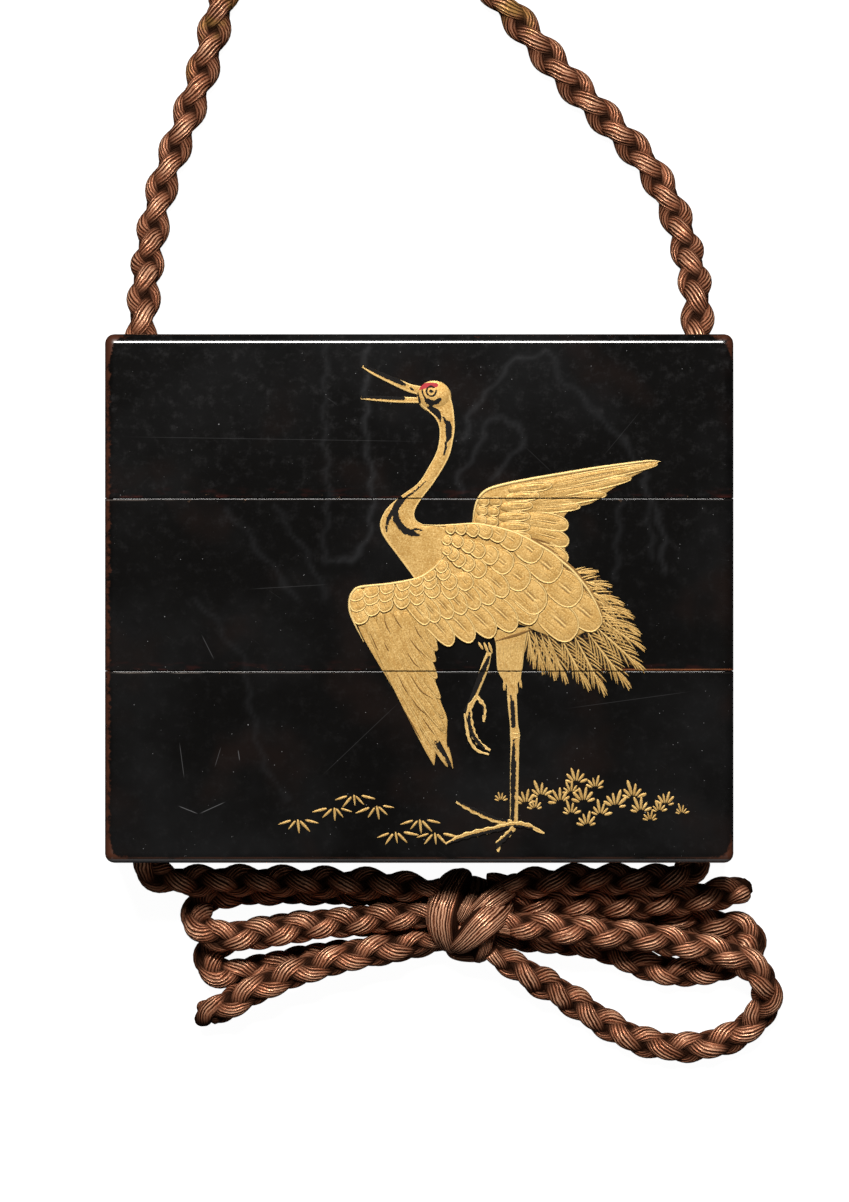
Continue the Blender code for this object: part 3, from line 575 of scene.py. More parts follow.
def sample(line, distances):
    """Points at the given distances along a line, with any further columns that the line has."""
    run = run_along(line[:, :3])
    return np.stack([np.interp(distances, run, column) for column in line.T], axis=-1)


def unit(vectors):
    return vectors / np.linalg.norm(vectors, axis=-1, keepdims=True)


def turned_left(vectors):
    """The vectors (x, y) turned by a quarter."""
    return np.stack([-vectors[..., 1], vectors[..., 0]], axis=-1)


def signed_power(values, power):
    """The power of the values' sizes, with their signs kept."""
    return np.sign(values) * np.abs(values) ** power


def eased(first, last, share):
    """A value that goes from the first to the last while the share goes from 0 to 1, level at both ends."""
    return first + (last - first) * share**2 * (3 - 2 * share)


def grid_faces(rows, columns):
    """Four-cornered faces between the points of a grid numbered row by row.

    The last column is joined to the first."""
    row, column = np.meshgrid(np.arange(rows - 1), np.arange(columns), indexing="ij")
    beside = (column + 1) % columns
    here, above = row * columns, (row + 1) * columns
    return np.stack([here + column, here + beside, above + beside, above + column], axis=-1).reshape(-1, 4)


class Shells:
    """Closed surfaces that become one mesh: their points, their faces and the values at their points."""

    def __init__(self, *names):
        self.points, self.faces = [], []
        self.values = {name: [] for name in names}
        self.count = 0

    def add(self, grids, **values):
        """Adds grids of points (shell, row, column, axis), each closed round its columns.

        A shell whose signed volume, the sum over its faces of one corner's dot product with the cross
        product of the next two, is negative has its faces turned round."""
        shells, rows, columns = grids.shape[:3]
        faces = grid_faces(rows, columns)
        flat = grids.reshape(shells, -1, 3)
        corners = (flat - flat.mean(axis=1, keepdims=True))[:, faces]
        halves = ((0, 1, 2), (0, 2, 3))
        volume = sum(
            (corners[:, :, a] * np.cross(corners[:, :, b], corners[:, :, c])).sum(axis=(1, 2))
            for a, b, c in halves
        )
        faces = np.where((volume < 0)[:, None, None], faces[None, :, ::-1], faces[None])
        offsets = self.count + np.arange(shells) * rows * columns
        self.points.append(flat.reshape(-1, 3))
        self.faces.append((faces + offsets[:, None, None]).reshape(-1, 4))
        for name, stored in self.values.items():
            stored.append(np.broadcast_to(values.get(name, 0.0), grids.shape[:3]).reshape(-1))
        self.count += len(self.points[-1])

    def mesh(self, name):
        """One mesh of all the shells, with the points at their poles joined."""
        values = {key: np.concatenate(stored) for key, stored in self.values.items()}
        made = new_mesh(name, np.concatenate(self.points), np.concatenate(self.faces), values)
        join_doubles(made)
        return made


def new_mesh(name, points, faces, values):
    """A mesh from whole arrays of points, of faces and of the values at its points."""
    mesh = bpy.data.meshes.new(name)
    mesh.vertices.add(len(points))
    mesh.vertices.foreach_set("co", np.ascontiguousarray(points, np.float32).ravel())
    mesh.loops.add(faces.size)
    mesh.loops.foreach_set("vertex_index", np.ascontiguousarray(faces, np.int32).ravel())
    mesh.polygons.add(len(faces))
    mesh.polygons.foreach_set("loop_start", np.arange(0, faces.size, faces.shape[1], dtype=np.int32))
    mesh.update(calc_edges=True)
    for key, stored in values.items():
        store(mesh, key, stored)
    return mesh


def store(mesh, name, values):
    """Stores one value at each point of a mesh."""
    attribute = mesh.attributes.new(name, "FLOAT", "POINT")
    attribute.data.foreach_set("value", np.ascontiguousarray(values, np.float32))


@contextmanager
def edited(mesh):
    """A mesh's shape to edit, which is written back to it at the end."""
    shape = bmesh.new()
    shape.from_mesh(mesh)
    yield shape
    shape.to_mesh(mesh)
    shape.free()


def join_doubles(mesh):
    """Joins points that lie on each other, which closes seams and poles."""
    with edited(mesh) as shape:
        bmesh.ops.remove_doubles(shape, verts=shape.verts, dist=0.0005 * MM)
        bmesh.ops.dissolve_degenerate(shape, edges=shape.edges, dist=0.0001 * MM)


def new_piece(name, mesh, material, sharp_angle=None):
    """An object for a finished mesh, riding with the case."""
    mesh.materials.clear()
    mesh.materials.append(material)
    mesh.shade_smooth()
    if sharp_angle:
        mesh.set_sharp_from_angle(angle=math.radians(sharp_angle))
    piece = bpy.data.objects.new(name, mesh)
    bpy.context.scene.collection.objects.link(piece)
    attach(piece, "root")
    return piece


# -----------------------------------------------------------------------------------------------------------
# Cord
# -----------------------------------------------------------------------------------------------------------

ROUTE_STEPS = 24  # points of a smooth route from each given point to the next
BRAID_RADIUS = 0.36  # from the braid's middle to a strand's, as a share of the braid's radius
BRAID_SWAY = 0.13  # how far a strand moves in and out
BRAID_LAG = 0.30  # how much slower a strand goes round where it is out than where it is in
STRAND_FLAT, STRAND_WIDE = 0.43, 0.52  # half a strand's thickness and half its width, in the same shares
SQUEEZE = 0.76  # share of its diameter that a cord keeps where it enters the knot
SQUEEZE_LENGTH = 7.0 * MM
CUT_ROUNDING = 0.9 * MM  # how far back a strand's cut end is rounded
CUT_SCATTER = (0.0, 1.1, 0.5, 1.5)  # how much shorter each strand is cut, in millimetres
# Unevenness, each with the length over which it comes and goes: of the strands' way round in radians, of the
# whole braid's turn in radians, and of its thickness as a share.
PULL, PULL_LENGTH = 0.22, 13 * MM
ROLL, ROLL_LENGTH = 0.16, 21 * MM
SWELL, SWELL_LENGTH = 0.02, 5.3 * MM
OUT_THICKER, OUT_WIDER = 0.10, 0.06  # how much a strand grows where it is out
TURN_START, TURN_SHARE = 0.45, 0.10  # where and over how much of its length a cord takes its second turn
# Distance between two rings of a strand and its number of sides, on the long cord and on the others.
LONG_CORD_RINGS, SHORT_CORD_RINGS = (0.42 * MM, 20), (0.32 * MM, 26)
KNOT_RINGS = (72, 44)  # number of rings and of sides of each turn of the knot
KNOT_CLOSING = 5  # power with which a turn of the knot closes at its ends
KNOT_SECTION = 0.85  # power of the sine and the cosine in its superellipse
KNOT_RIDGES, KNOT_RIDGE_HEIGHT = 11, 0.022  # how many threads stand out round it, and by what share
# Depth along a knot band's edges, which the silk paints as shade in the creases between the bands.
KNOT_EDGE_DEPTH, KNOT_EDGE_POWER = 0.62, 7


def cord_line(route, free_end):
    """Points of a cord's centre line in metres, close together, with its ends run on into the knot."""
    line = smooth_points(route, ROUTE_STEPS) * MM
    start_run = (line[0] - line[1]) / np.linalg.norm(line[0] - line[1]) * KNOT_RUN
    end_run = (line[-1] - line[-2]) / np.linalg.norm(line[-1] - line[-2]) * KNOT_RUN
    line = np.concatenate([line[:1] + start_run, line])
    return line if free_end else np.concatenate([line, line[-1:] + end_run])


def braid_shells(line, free_end, settings, turn, phase, ring_step, sides):
    """The four strands of a round braid as grids (strand, ring, side, axis), with how far along each ring
    lies and how deep each point lies in the braid. The braid as a whole is turned by the first of two angles
    in its first half and by the second in its second half.

    With t = pi times the distance over the pitch, two strands go round the middle at the angles
    t - b sin 2t and pi more, and at the radius R + a cos 2t. Two go the other way at -t - b sin 2t and pi
    more, and at R - a cos 2t. They cross at each quarter turn, where one is out and the other in, so each
    passes over and under in turn, and b makes it run straighter where it is out. A strand's section is an
    ellipse, flat towards the middle."""
    radius, pitch = settings.diameter / 2, settings.pitch
    whole = run_along(line)[-1]
    count = int(whole / ring_step)
    shorter = np.array(CUT_SCATTER) * MM if free_end else np.zeros(4)
    distance = np.linspace(0, 1, count)[None, :] * (whole - shorter)[:, None]
    middle = sample(line, distance)
    heading = unit(np.gradient(middle, axis=1))
    aside = unit(np.cross(heading, (0.0, 0.0, 1.0)))
    upwards = np.cross(aside, heading)
    t = math.pi * distance / pitch + phase + PULL * np.sin(distance / PULL_LENGTH + 2 * phase)
    way = np.array([1, 1, -1, -1])[:, None]
    halfway = np.clip((distance / whole - TURN_START) / TURN_SHARE, 0, 1)
    turned = eased(*turn, halfway) + ROLL * np.sin(distance / ROLL_LENGTH)
    start = np.array([0, math.pi, 0, math.pi])[:, None] + turned
    angle = start + way * t - BRAID_LAG * np.sin(2 * t)
    reach = np.minimum(distance, whole) if free_end else np.minimum(distance, whole - distance)
    share = np.clip(reach / SQUEEZE_LENGTH, 0, 1)
    size = eased(SQUEEZE, 1, share) * (1 + SWELL * np.sin(distance / SWELL_LENGTH + phase))
    out = way * np.cos(2 * t)
    offset = radius * size * (BRAID_RADIUS + BRAID_SWAY * out)
    away = np.cos(angle)[..., None] * aside + np.sin(angle)[..., None] * upwards
    strand = middle + offset[..., None] * away
    forward = unit(np.gradient(strand, axis=1))
    outward = unit(away - (away * forward).sum(axis=-1, keepdims=True) * forward)
    across = np.cross(forward, outward)
    closing = np.ones_like(distance)
    if free_end:
        left = (whole - shorter)[:, None] - distance
        closing = np.sqrt(np.clip(1 - (1 - np.clip(left / CUT_ROUNDING, 0, 1)) ** 2, 0, 1))
    around = np.linspace(0, math.tau, sides, endpoint=False)
    flat = radius * size * STRAND_FLAT * (1 + OUT_THICKER * out) * closing
    wide = radius * size * STRAND_WIDE * (1 + OUT_WIDER * out) * closing
    grids = (
        strand[:, :, None]
        + (flat[..., None] * np.sin(around))[..., None] * outward[:, :, None]
        + (wide[..., None] * np.cos(around))[..., None] * across[:, :, None]
    )
    # How deep each point lies in the braid, which the silk paints as shade.
    depth = 1 - np.linalg.norm(grids - middle[:, :, None], axis=-1) / (radius * size)[..., None]
    tips = [strand[:, ring, None].repeat(sides, 2) for ring in (slice(0, 1), slice(-1, None))]
    grids = np.concatenate([tips[0], grids, tips[1]], axis=1)
    return grids, with_ends(distance) / MM, with_ends(depth)


def with_ends(rows):
    """Rows of values whose first and last are given twice, for the points that close a shape's ends."""
    return np.concatenate([rows[:, :1], rows, rows[:, -1:]], axis=1)


def add_thread_map(mesh, grids, along):
    """The UV map of swept grids: once round in U, and the distance along in millimetres in V.

    Set from the faces' own rows and columns, so that the last column runs up to 1 and not back to 0."""
    rows, columns = grids.shape[1:3]
    row, column = np.meshgrid(np.arange(rows - 1), np.arange(columns), indexing="ij")
    u = np.stack([column, column + 1, column + 1, column], axis=-1) / columns
    v = along[:, np.stack([row, row, row + 1, row + 1], axis=-1)]
    uv = np.stack([np.broadcast_to(u, v.shape), v], axis=-1)
    layer = mesh.uv_layers.new(name="threads")
    layer.uv.foreach_set("vector", np.ascontiguousarray(uv, np.float32).ravel())


def swept_mesh(name, grids, along, depth):
    """A mesh of grids swept along paths, with their thread map, their points' depth and closed ends."""
    faces = grid_faces(*grids.shape[1:3])
    offsets = np.arange(len(grids)) * grids.shape[1] * grids.shape[2]
    all_faces = (faces[None] + offsets[:, None, None]).reshape(-1, 4)
    mesh = new_mesh(name, grids.reshape(-1, 3), all_faces, {"depth": depth.ravel()})
    add_thread_map(mesh, grids, along)
    join_doubles(mesh)
    return mesh


def add_cord(name, node, route, free_end, turn, phase, silk, settings):
    """One braided cord along its route, standing for its solid."""
    line = cord_line(route, free_end)
    rings = LONG_CORD_RINGS if node == "main_cord" else SHORT_CORD_RINGS
    mesh = swept_mesh(name, *braid_shells(line, free_end, settings, turn, phase, *rings))
    piece = new_piece(name, mesh, silk)
    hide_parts(node)
    return piece


def band_grid(route):
    """A flat bundle of threads along a smooth route, lying on the knot's middle.

    Its section is a superellipse with its short axis pointing away from the knot's middle. Towards both ends
    its size falls as the root of one minus a power of the share of the way, so the ends close. Its stored
    depth, which the silk paints as shade, is greatest along its two edges, by a power of the cosine round
    it."""
    line = smooth_points(route, ROUTE_STEPS) * MM
    run = run_along(line[:, :3])
    rings, sides = KNOT_RINGS
    rows = sample(line, np.linspace(0, run[-1], rings))
    middle, half_width, half_thickness = rows[:, :3], rows[:, 3, None], rows[:, 4, None]
    heading = unit(np.gradient(middle, axis=0))
    away = middle - np.array(KNOT_MIDDLE) * MM
    outward = unit(away - (away * heading).sum(axis=-1, keepdims=True) * heading)
    across = np.cross(heading, outward)
    size = np.sqrt(np.clip(1 - np.abs(np.linspace(-1, 1, rings)) ** KNOT_CLOSING, 0, 1))[:, None]
    around = np.linspace(0, math.tau, sides, endpoint=False)
    ridges = 1 + KNOT_RIDGE_HEIGHT * np.sin(around * KNOT_RIDGES)
    wide = signed_power(np.cos(around), KNOT_SECTION) * half_width * size
    flat = signed_power(np.sin(around), KNOT_SECTION) * half_thickness * ridges * size
    grid = middle[:, None] + wide[..., None] * across[:, None] + flat[..., None] * outward[:, None]
    closed = np.concatenate([middle[:1, None].repeat(sides, 1), grid, middle[-1:, None].repeat(sides, 1)])
    along = np.concatenate([[0], np.linspace(0, run[-1], rings), [run[-1]]]) / MM
    depth = KNOT_EDGE_DEPTH * np.abs(np.cos(around)) ** KNOT_EDGE_POWER
    return closed, along, np.broadcast_to(depth, closed.shape[:2])


def add_knot(silk):
    """The bow's knot: the cord's last turns pulled flat, with their threads side by side."""
    grids, along, depth = (np.stack(values) for values in zip(*map(band_grid, KNOT_BANDS)))
    piece = new_piece("knot", swept_mesh("knot", grids, along, depth), silk)
    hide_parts("bow_knot")
    return piece


# -----------------------------------------------------------------------------------------------------------
# Boxes
# -----------------------------------------------------------------------------------------------------------

FRONT_STEP = 0.4 * MM  # between two points of the front, fine enough for the haze that its points store
SUPPORT = 0.12 * MM  # how near a rounding's edge the next row lies, so that shading stays flat beyond it
CORNER_STEPS = 8
BACK_COLUMNS, SIDE_COLUMNS = 26, 10  # columns across the back and up each side
ROUNDING_POINTS = 5  # rows round an edge
FOOT_ROUNDING = 0.1 * MM  # round the mouth of a recess
RISER_ROUNDING, COMPARTMENT_ROUNDING = 0.35 * MM, 0.25 * MM  # the riser's outer and inner edge
CUTTER_OVERHANG, CUTTER_SIDES = 1.5 * MM, 48
FRONT_DEPTH = 0.2 * MM  # how far below the front a point may lie and still bear haze
LACQUER_SHARP_ANGLE, GOLD_SHARP_ANGLE = 32, 60
HAZE_REACH = 0.34  # half the width of a tide line, in millimetres
# Tide lines in the polish, as curves over the front in millimetres, with their strength.
HAZE_LINES = (
    (1.0, ((5.3, 19.2), (6.6, 23), (9.1, 25.7), (11.3, 28.2), (13.1, 28.9), (14.9, 29.3), (15.9, 28.5))),
    (0.7, ((15.9, 28.5), (17.4, 25.5), (18.9, 24.5), (22.2, 21), (25.7, 16.9), (27, 14.1))),
    (0.8, ((10.1, 21.6), (7.9, 20.6), (7.3, 18.4), (6.1, 16.4), (5, 15.4), (4.7, 14.1), (5, 12.6))),
    (0.8, ((10.1, 21.6), (11.9, 20.7), (12.4, 19.2), (11.9, 17.7), (10.6, 16.4), (9.3, 15.2), (8.8, 14.4))),
    (1.0, ((-6.4, 30), (-6.3, 22.2), (-6.4, 19.2), (-5.8, 15.7), (-5.6, 11.1), (-6.3, 7.1), (-8.1, 4.8),
      (-9.6, 4.3))),
    (0.6, ((-11, 30.6), (-11.3, 21.4), (-10.8, 11.8), (-11.4, 5.2), (-9, 4.6))),
    (0.6, ((24, 11.9), (23.7, 8.3), (23.5, 2))),
    (0.8, ((26.7, 14.1), (27.7, 11.6), (29, 8.3), (29, 3.3))),
    (0.5, ((27.2, 12.1), (27.5, 8.3), (28, 4.6))),
    (0.6, ((-22.8, 10.6), (-18.6, 5.2), (-14.4, -0.2))),
    (0.5, ((-17.4, 11.2), (-13.8, 5.8), (-10.8, -0.2))),
    (0.5, ((-26.4, -0.2), (-21, -7.4), (-20.4, -11), (-18.6, -19.3), (-15.6, -24.1))),
)


def distance_to_path(points, path):
    """Distance of each point (x, y) from the nearest place on a path of straight stretches.

    The nearest place on a stretch is at the point's dot product with it, held within its length."""
    start, step = path[:-1], np.diff(path, axis=0)
    from_start = points[:, None] - start
    share = np.clip((from_start * step).sum(axis=2) / np.maximum((step**2).sum(axis=1), 1e-12), 0, 1)
    return np.linalg.norm(from_start - share[..., None] * step, axis=2).min(axis=1)


def section_columns():
    """The columns of a rounded rectangle: shares of its straight halves, and the direction of its corners.

    A point is (share x (half size - corner radius) + direction x corner radius), in x and in z."""
    front = np.linspace(-1, 1, round(2 * HALF_WIDTH / FRONT_STEP))
    back = np.linspace(1, -1, BACK_COLUMNS)
    side = np.linspace(1, -1, SIDE_COLUMNS)
    turn = np.linspace(0, math.pi / 2, CORNER_STEPS + 1)[1:-1]
    columns = []
    for straight, along_x, quarter in ((front, 1, 0), (side, 0, 1), (back, 1, 2), (-side, 0, 3)):
        start = math.pi / 2 - quarter * math.pi / 2
        normal = np.array([math.cos(start), math.sin(start)]).round(9)
        steady = np.sign(normal)
        if along_x:
            shares = np.stack([straight, np.full_like(straight, steady[1])], axis=1)
        else:
            shares = np.stack([np.full_like(straight, steady[0]), straight], axis=1)
        columns.append(np.concatenate([shares, np.broadcast_to(normal, shares.shape)], axis=1))
        corner = np.stack([np.cos(start - turn), np.sin(start - turn)], axis=1)
        columns.append(np.concatenate([np.broadcast_to(shares[-1], corner.shape), corner], axis=1))
    return np.concatenate(columns)


def profile_grid(rows):
    """The points of a profile carried round a section.

    Each row is ((half width, half depth, corner), inset, y)."""
    share_x, share_z, normal_x, normal_z = section_columns().T
    sections = np.array([section for section, _, _ in rows])
    inset = np.array([inset for _, inset, _ in rows])
    y = np.array([y for _, _, y in rows])
    half_width, half_depth = sections[:, 0] - inset, sections[:, 1] - inset
    corner = np.maximum(sections[:, 2] - inset, 0.02 * MM)
    x = np.outer(half_width - corner, share_x) + np.outer(corner, normal_x)
    z = np.outer(half_depth - corner, share_z) + np.outer(corner, normal_z) + MIDDLE_Z
    return np.stack([x, np.broadcast_to(y[:, None], x.shape), z], axis=-1)


def rounding(section, radius, y, end, bulge=1):
    """Rows of a quarter circle from the wall to a flat face at y, with one row just beyond it on both sides.

    end is 1 where the face lies at the wall's high end and -1 at its low end. bulge is 1 where the
    section shrinks towards the face and -1 where it grows, as round the mouth of a hollow."""
    rows = [(section, 0, y - end * (radius + SUPPORT))]
    for angle in np.linspace(0, math.pi / 2, ROUNDING_POINTS):
        inset, drop = bulge * radius * (1 - math.cos(angle)), end * radius * (1 - math.sin(angle))
        rows.append((section, inset, y - drop))
    rows.append((section, bulge * (radius + SUPPORT), y))
    return rows


def wall_rows(section, low_y, high_y):
    """Rows up a straight wall, FRONT_STEP apart, without the two ends."""
    count = round((high_y - low_y) / FRONT_STEP) + 1
    return [(section, 0, y) for y in np.linspace(low_y, high_y, count)[1:-1]]


OUTER, RECESS, RISER, COMPARTMENT = "outer", "recess", "riser", "compartment"


def sections_of(edge_radius):
    """Half width, half depth and corner radius of a box, its recess, its riser and its compartment."""
    recess_depth = MIDDLE_Z - WALL
    riser_depth = recess_depth - FIT_GAP
    riser_width = COMPARTMENT_HALF_WIDTH + RISER_WALL
    return {
        OUTER: (HALF_WIDTH, MIDDLE_Z, edge_radius),
        RECESS: (riser_width + FIT_GAP, recess_depth, COMPARTMENT_CORNER),
        RISER: (riser_width, riser_depth, COMPARTMENT_CORNER / 2),
        COMPARTMENT: (COMPARTMENT_HALF_WIDTH, riser_depth - RISER_WALL, COMPARTMENT_CORNER),
    }


def foot_rows(sections, low_y, ceiling_y, rim):
    """Rows from the middle of a recess's ceiling down its wall and round the rim to the outer wall."""
    rows = rounding(sections[RECESS], COMPARTMENT_CORNER, ceiling_y, 1)[::-1]
    rows += rounding(sections[RECESS], FOOT_ROUNDING, low_y, -1, bulge=-1)
    return rows + rounding(sections[OUTER], rim, low_y, -1)[::-1]


def mouth_rows(sections, high_y, floor_y, rim):
    """Rows from the outer wall over the rim, up the riser, over its edge and down to the floor."""
    riser, riser_top = sections[RISER], high_y + RISER_HEIGHT
    rows = rounding(sections[OUTER], rim, high_y, 1)
    rows += [(riser, -SUPPORT, high_y), (riser, 0, high_y), (riser, 0, high_y + SUPPORT)]
    rows += rounding(riser, RISER_ROUNDING, riser_top, 1)
    rows += rounding(sections[COMPARTMENT], COMPARTMENT_ROUNDING, riser_top, 1, bulge=-1)[::-1]
    return rows + rounding(sections[COMPARTMENT], COMPARTMENT_CORNER, floor_y, -1)


def capped_mesh(name, grid):
    """A mesh of a profile grid whose first and last rows are closed with one flat face each."""
    rows, columns = grid.shape[:2]
    mesh = new_mesh(name, grid.reshape(-1, 3), grid_faces(rows, columns), {})
    with edited(mesh) as shape:
        shape.verts.ensure_lookup_table()
        for first in (0, (rows - 1) * columns):
            shape.faces.new([shape.verts[first + column] for column in range(columns)])
        bmesh.ops.remove_doubles(shape, verts=shape.verts, dist=0.001 * MM)
        bmesh.ops.dissolve_degenerate(shape, edges=shape.edges, dist=0.001 * MM)
        bmesh.ops.recalc_face_normals(shape, faces=shape.faces)
    return mesh


def channel_cutter(name, x):
    """A turned cutter for a channel of the cord. At the case's ends its radius grows by a quarter circle."""
    turn = np.linspace(0, math.pi / 2, ROUNDING_POINTS)
    flare = CHANNEL_FLARE * (1 - np.cos(turn))
    back = CHANNEL_FLARE * (1 - np.sin(turn))
    reach = [BASE_Y - CUTTER_OVERHANG, *(BASE_Y + back[::-1]), *(TOP_Y - back), TOP_Y + CUTTER_OVERHANG]
    radius = CHANNEL_RADIUS + np.array([CHANNEL_FLARE, *flare[::-1], *flare, CHANNEL_FLARE])
    around = np.linspace(0, math.tau, CUTTER_SIDES, endpoint=False)
    grid = np.empty((len(radius), len(around), 3))
    grid[..., 0] = x + np.outer(radius, np.cos(around))
    grid[..., 1] = np.array(reach)[:, None]
    grid[..., 2] = MIDDLE_Z + np.outer(radius, np.sin(around))
    return bpy.data.objects.new(name, capped_mesh(name, grid))


def wandering(points):
    """The points moved a little along x and y, by sines of the other coordinate."""
    x, y = points[:, 0], points[:, 1]
    shift_x = 0.28 * np.sin(1.7 * y + 0.4 * x) + 0.07 * np.sin(4.1 * y + 1.3)
    shift_y = 0.28 * np.sin(1.5 * x - 0.5 * y + 2.0) + 0.07 * np.sin(3.7 * x)
    return points + np.stack([shift_x, shift_y], axis=1)


def haze_on(points):
    """How much haze lies at each point (x, y) of the front in millimetres: the bell curve of its distance
    from the nearest tide line."""
    haze = np.zeros(len(points))
    points = wandering(points)
    for strength, line in HAZE_LINES:
        distance = distance_to_path(points, smooth_points(line, 6))
        haze = np.maximum(haze, strength * np.exp(-((distance / HAZE_REACH) ** 2)))
    return haze


def store_haze(mesh):
    """Stores the haze at the points of a box's front, and none at its others."""
    places = np.empty(len(mesh.vertices) * 3, np.float32)
    mesh.vertices.foreach_get("co", places)
    places = places.reshape(-1, 3)
    store(mesh, "haze", np.where(places[:, 2] > FACE_Z - FRONT_DEPTH, haze_on(places[:, :2] / MM), 0))


def add_box(name, node, rows, material):
    """One lacquered box with the cord's channels bored through it, standing for its solid."""
    scene = bpy.context.scene
    blank = bpy.data.objects.new(f"{name}_blank", capped_mesh(f"{name}_blank", profile_grid(rows)))
    sides = (("left", -CHANNEL_X), ("right", CHANNEL_X))
    cutters = [channel_cutter(f"{name}_cutter_{side}", x) for side, x in sides]
    for helper in (blank, *cutters):
        scene.collection.objects.link(helper)
    for cutter in cutters:
        cut = blank.modifiers.new(cutter.name, "BOOLEAN")
        cut.operation = "DIFFERENCE"
        cut.solver = "EXACT"
        cut.object = cutter
    bpy.context.view_layer.update()
    evaluated = blank.evaluated_get(bpy.context.evaluated_depsgraph_get())
    mesh = bpy.data.meshes.new_from_object(evaluated)
    mesh.name = name
    for helper in (blank, *cutters):
        used = helper.data
        bpy.data.objects.remove(helper, do_unlink=True)
        bpy.data.meshes.remove(used)
    store_haze(mesh)
    piece = new_piece(name, mesh, material, sharp_angle=LACQUER_SHARP_ANGLE)
    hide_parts(node)
    return piece


# -----------------------------------------------------------------------------------------------------------
# Raised picture: leaves, strokes and lofts, in millimetres on the front
# -----------------------------------------------------------------------------------------------------------

SINK = -0.12  # how deep the underside of each raised shape lies in the lacquer
RELIEF_VALUES = ("rim", "groove", "paint", "red", "across", "lines")
# Rows of a feather from its shaft out: share of the way to the edge, inset from the edge or None, rim and
# groove. The pale rim is partly painted highlight, and the dark of the outermost row is painted shadow along
# the feather's edge.
FEATHER_ROWS = (
    (0.0, None, 0.7, 0.0), (0.10, None, 0.0, 0.75), (0.22, None, 0.0, 0.0), (0.6, None, 0.0, 0.0),
    (1.0, 0.34, 0.0, 0.0), (1.0, 0.24, 0.05, 0.35), (1.0, 0.18, 0.6, 0.1), (1.0, 0.11, 0.9, 0.0),
    (1.0, 0.04, 0.6, 0.0), (1.0, 0.0, 0.0, 0.9),
)
SHAFT_ROWS = 3  # how many of the rows belong to the shaft, whose line shows only halfway along
# Plain rows, whose outermost row also carries a little painted shadow along the edge.
PLAIN_ROWS = ((0.0, None, 0.0, 0.0), (0.6, None, 0.2, 0.0), (0.9, None, 0.6, 0.0), (1.0, 0.0, 0.2, 0.3))
DISC_ROWS = tuple((share, None, 0.0, 0.0) for share in np.linspace(0, 0.95, 26)) + ((1.0, 0.0, 0.8, 0.0),)
RIM_HEIGHT, GROOVE_DEPTH = 0.045, 0.03
EDGE_DROP = 0.02  # how much lower a leaf's outermost row lies
# Shares of a feather's length: from where its rim, groove and painted edge shadow show, and between which
# its shaft shows, each with the length over which they come up.
EDGE_SHOWN_FROM, EDGE_FADE = 0.22, 0.3
SHAFT_SHOWN_FROM, SHAFT_SHOWN_TO, SHAFT_FADE = 0.30, 0.80, 0.12
FULL_SHAFT_LENGTH = 4  # from this length on a feather's shaft shows fully
EDGE_INSET = 0.08  # how far inside an edge the feathers stop
BRUSH_SOFTNESS = 0.24  # width of a brush stroke's soft edge
LOFT_RIM = 0.16  # width of the pale rim along a loft's sides


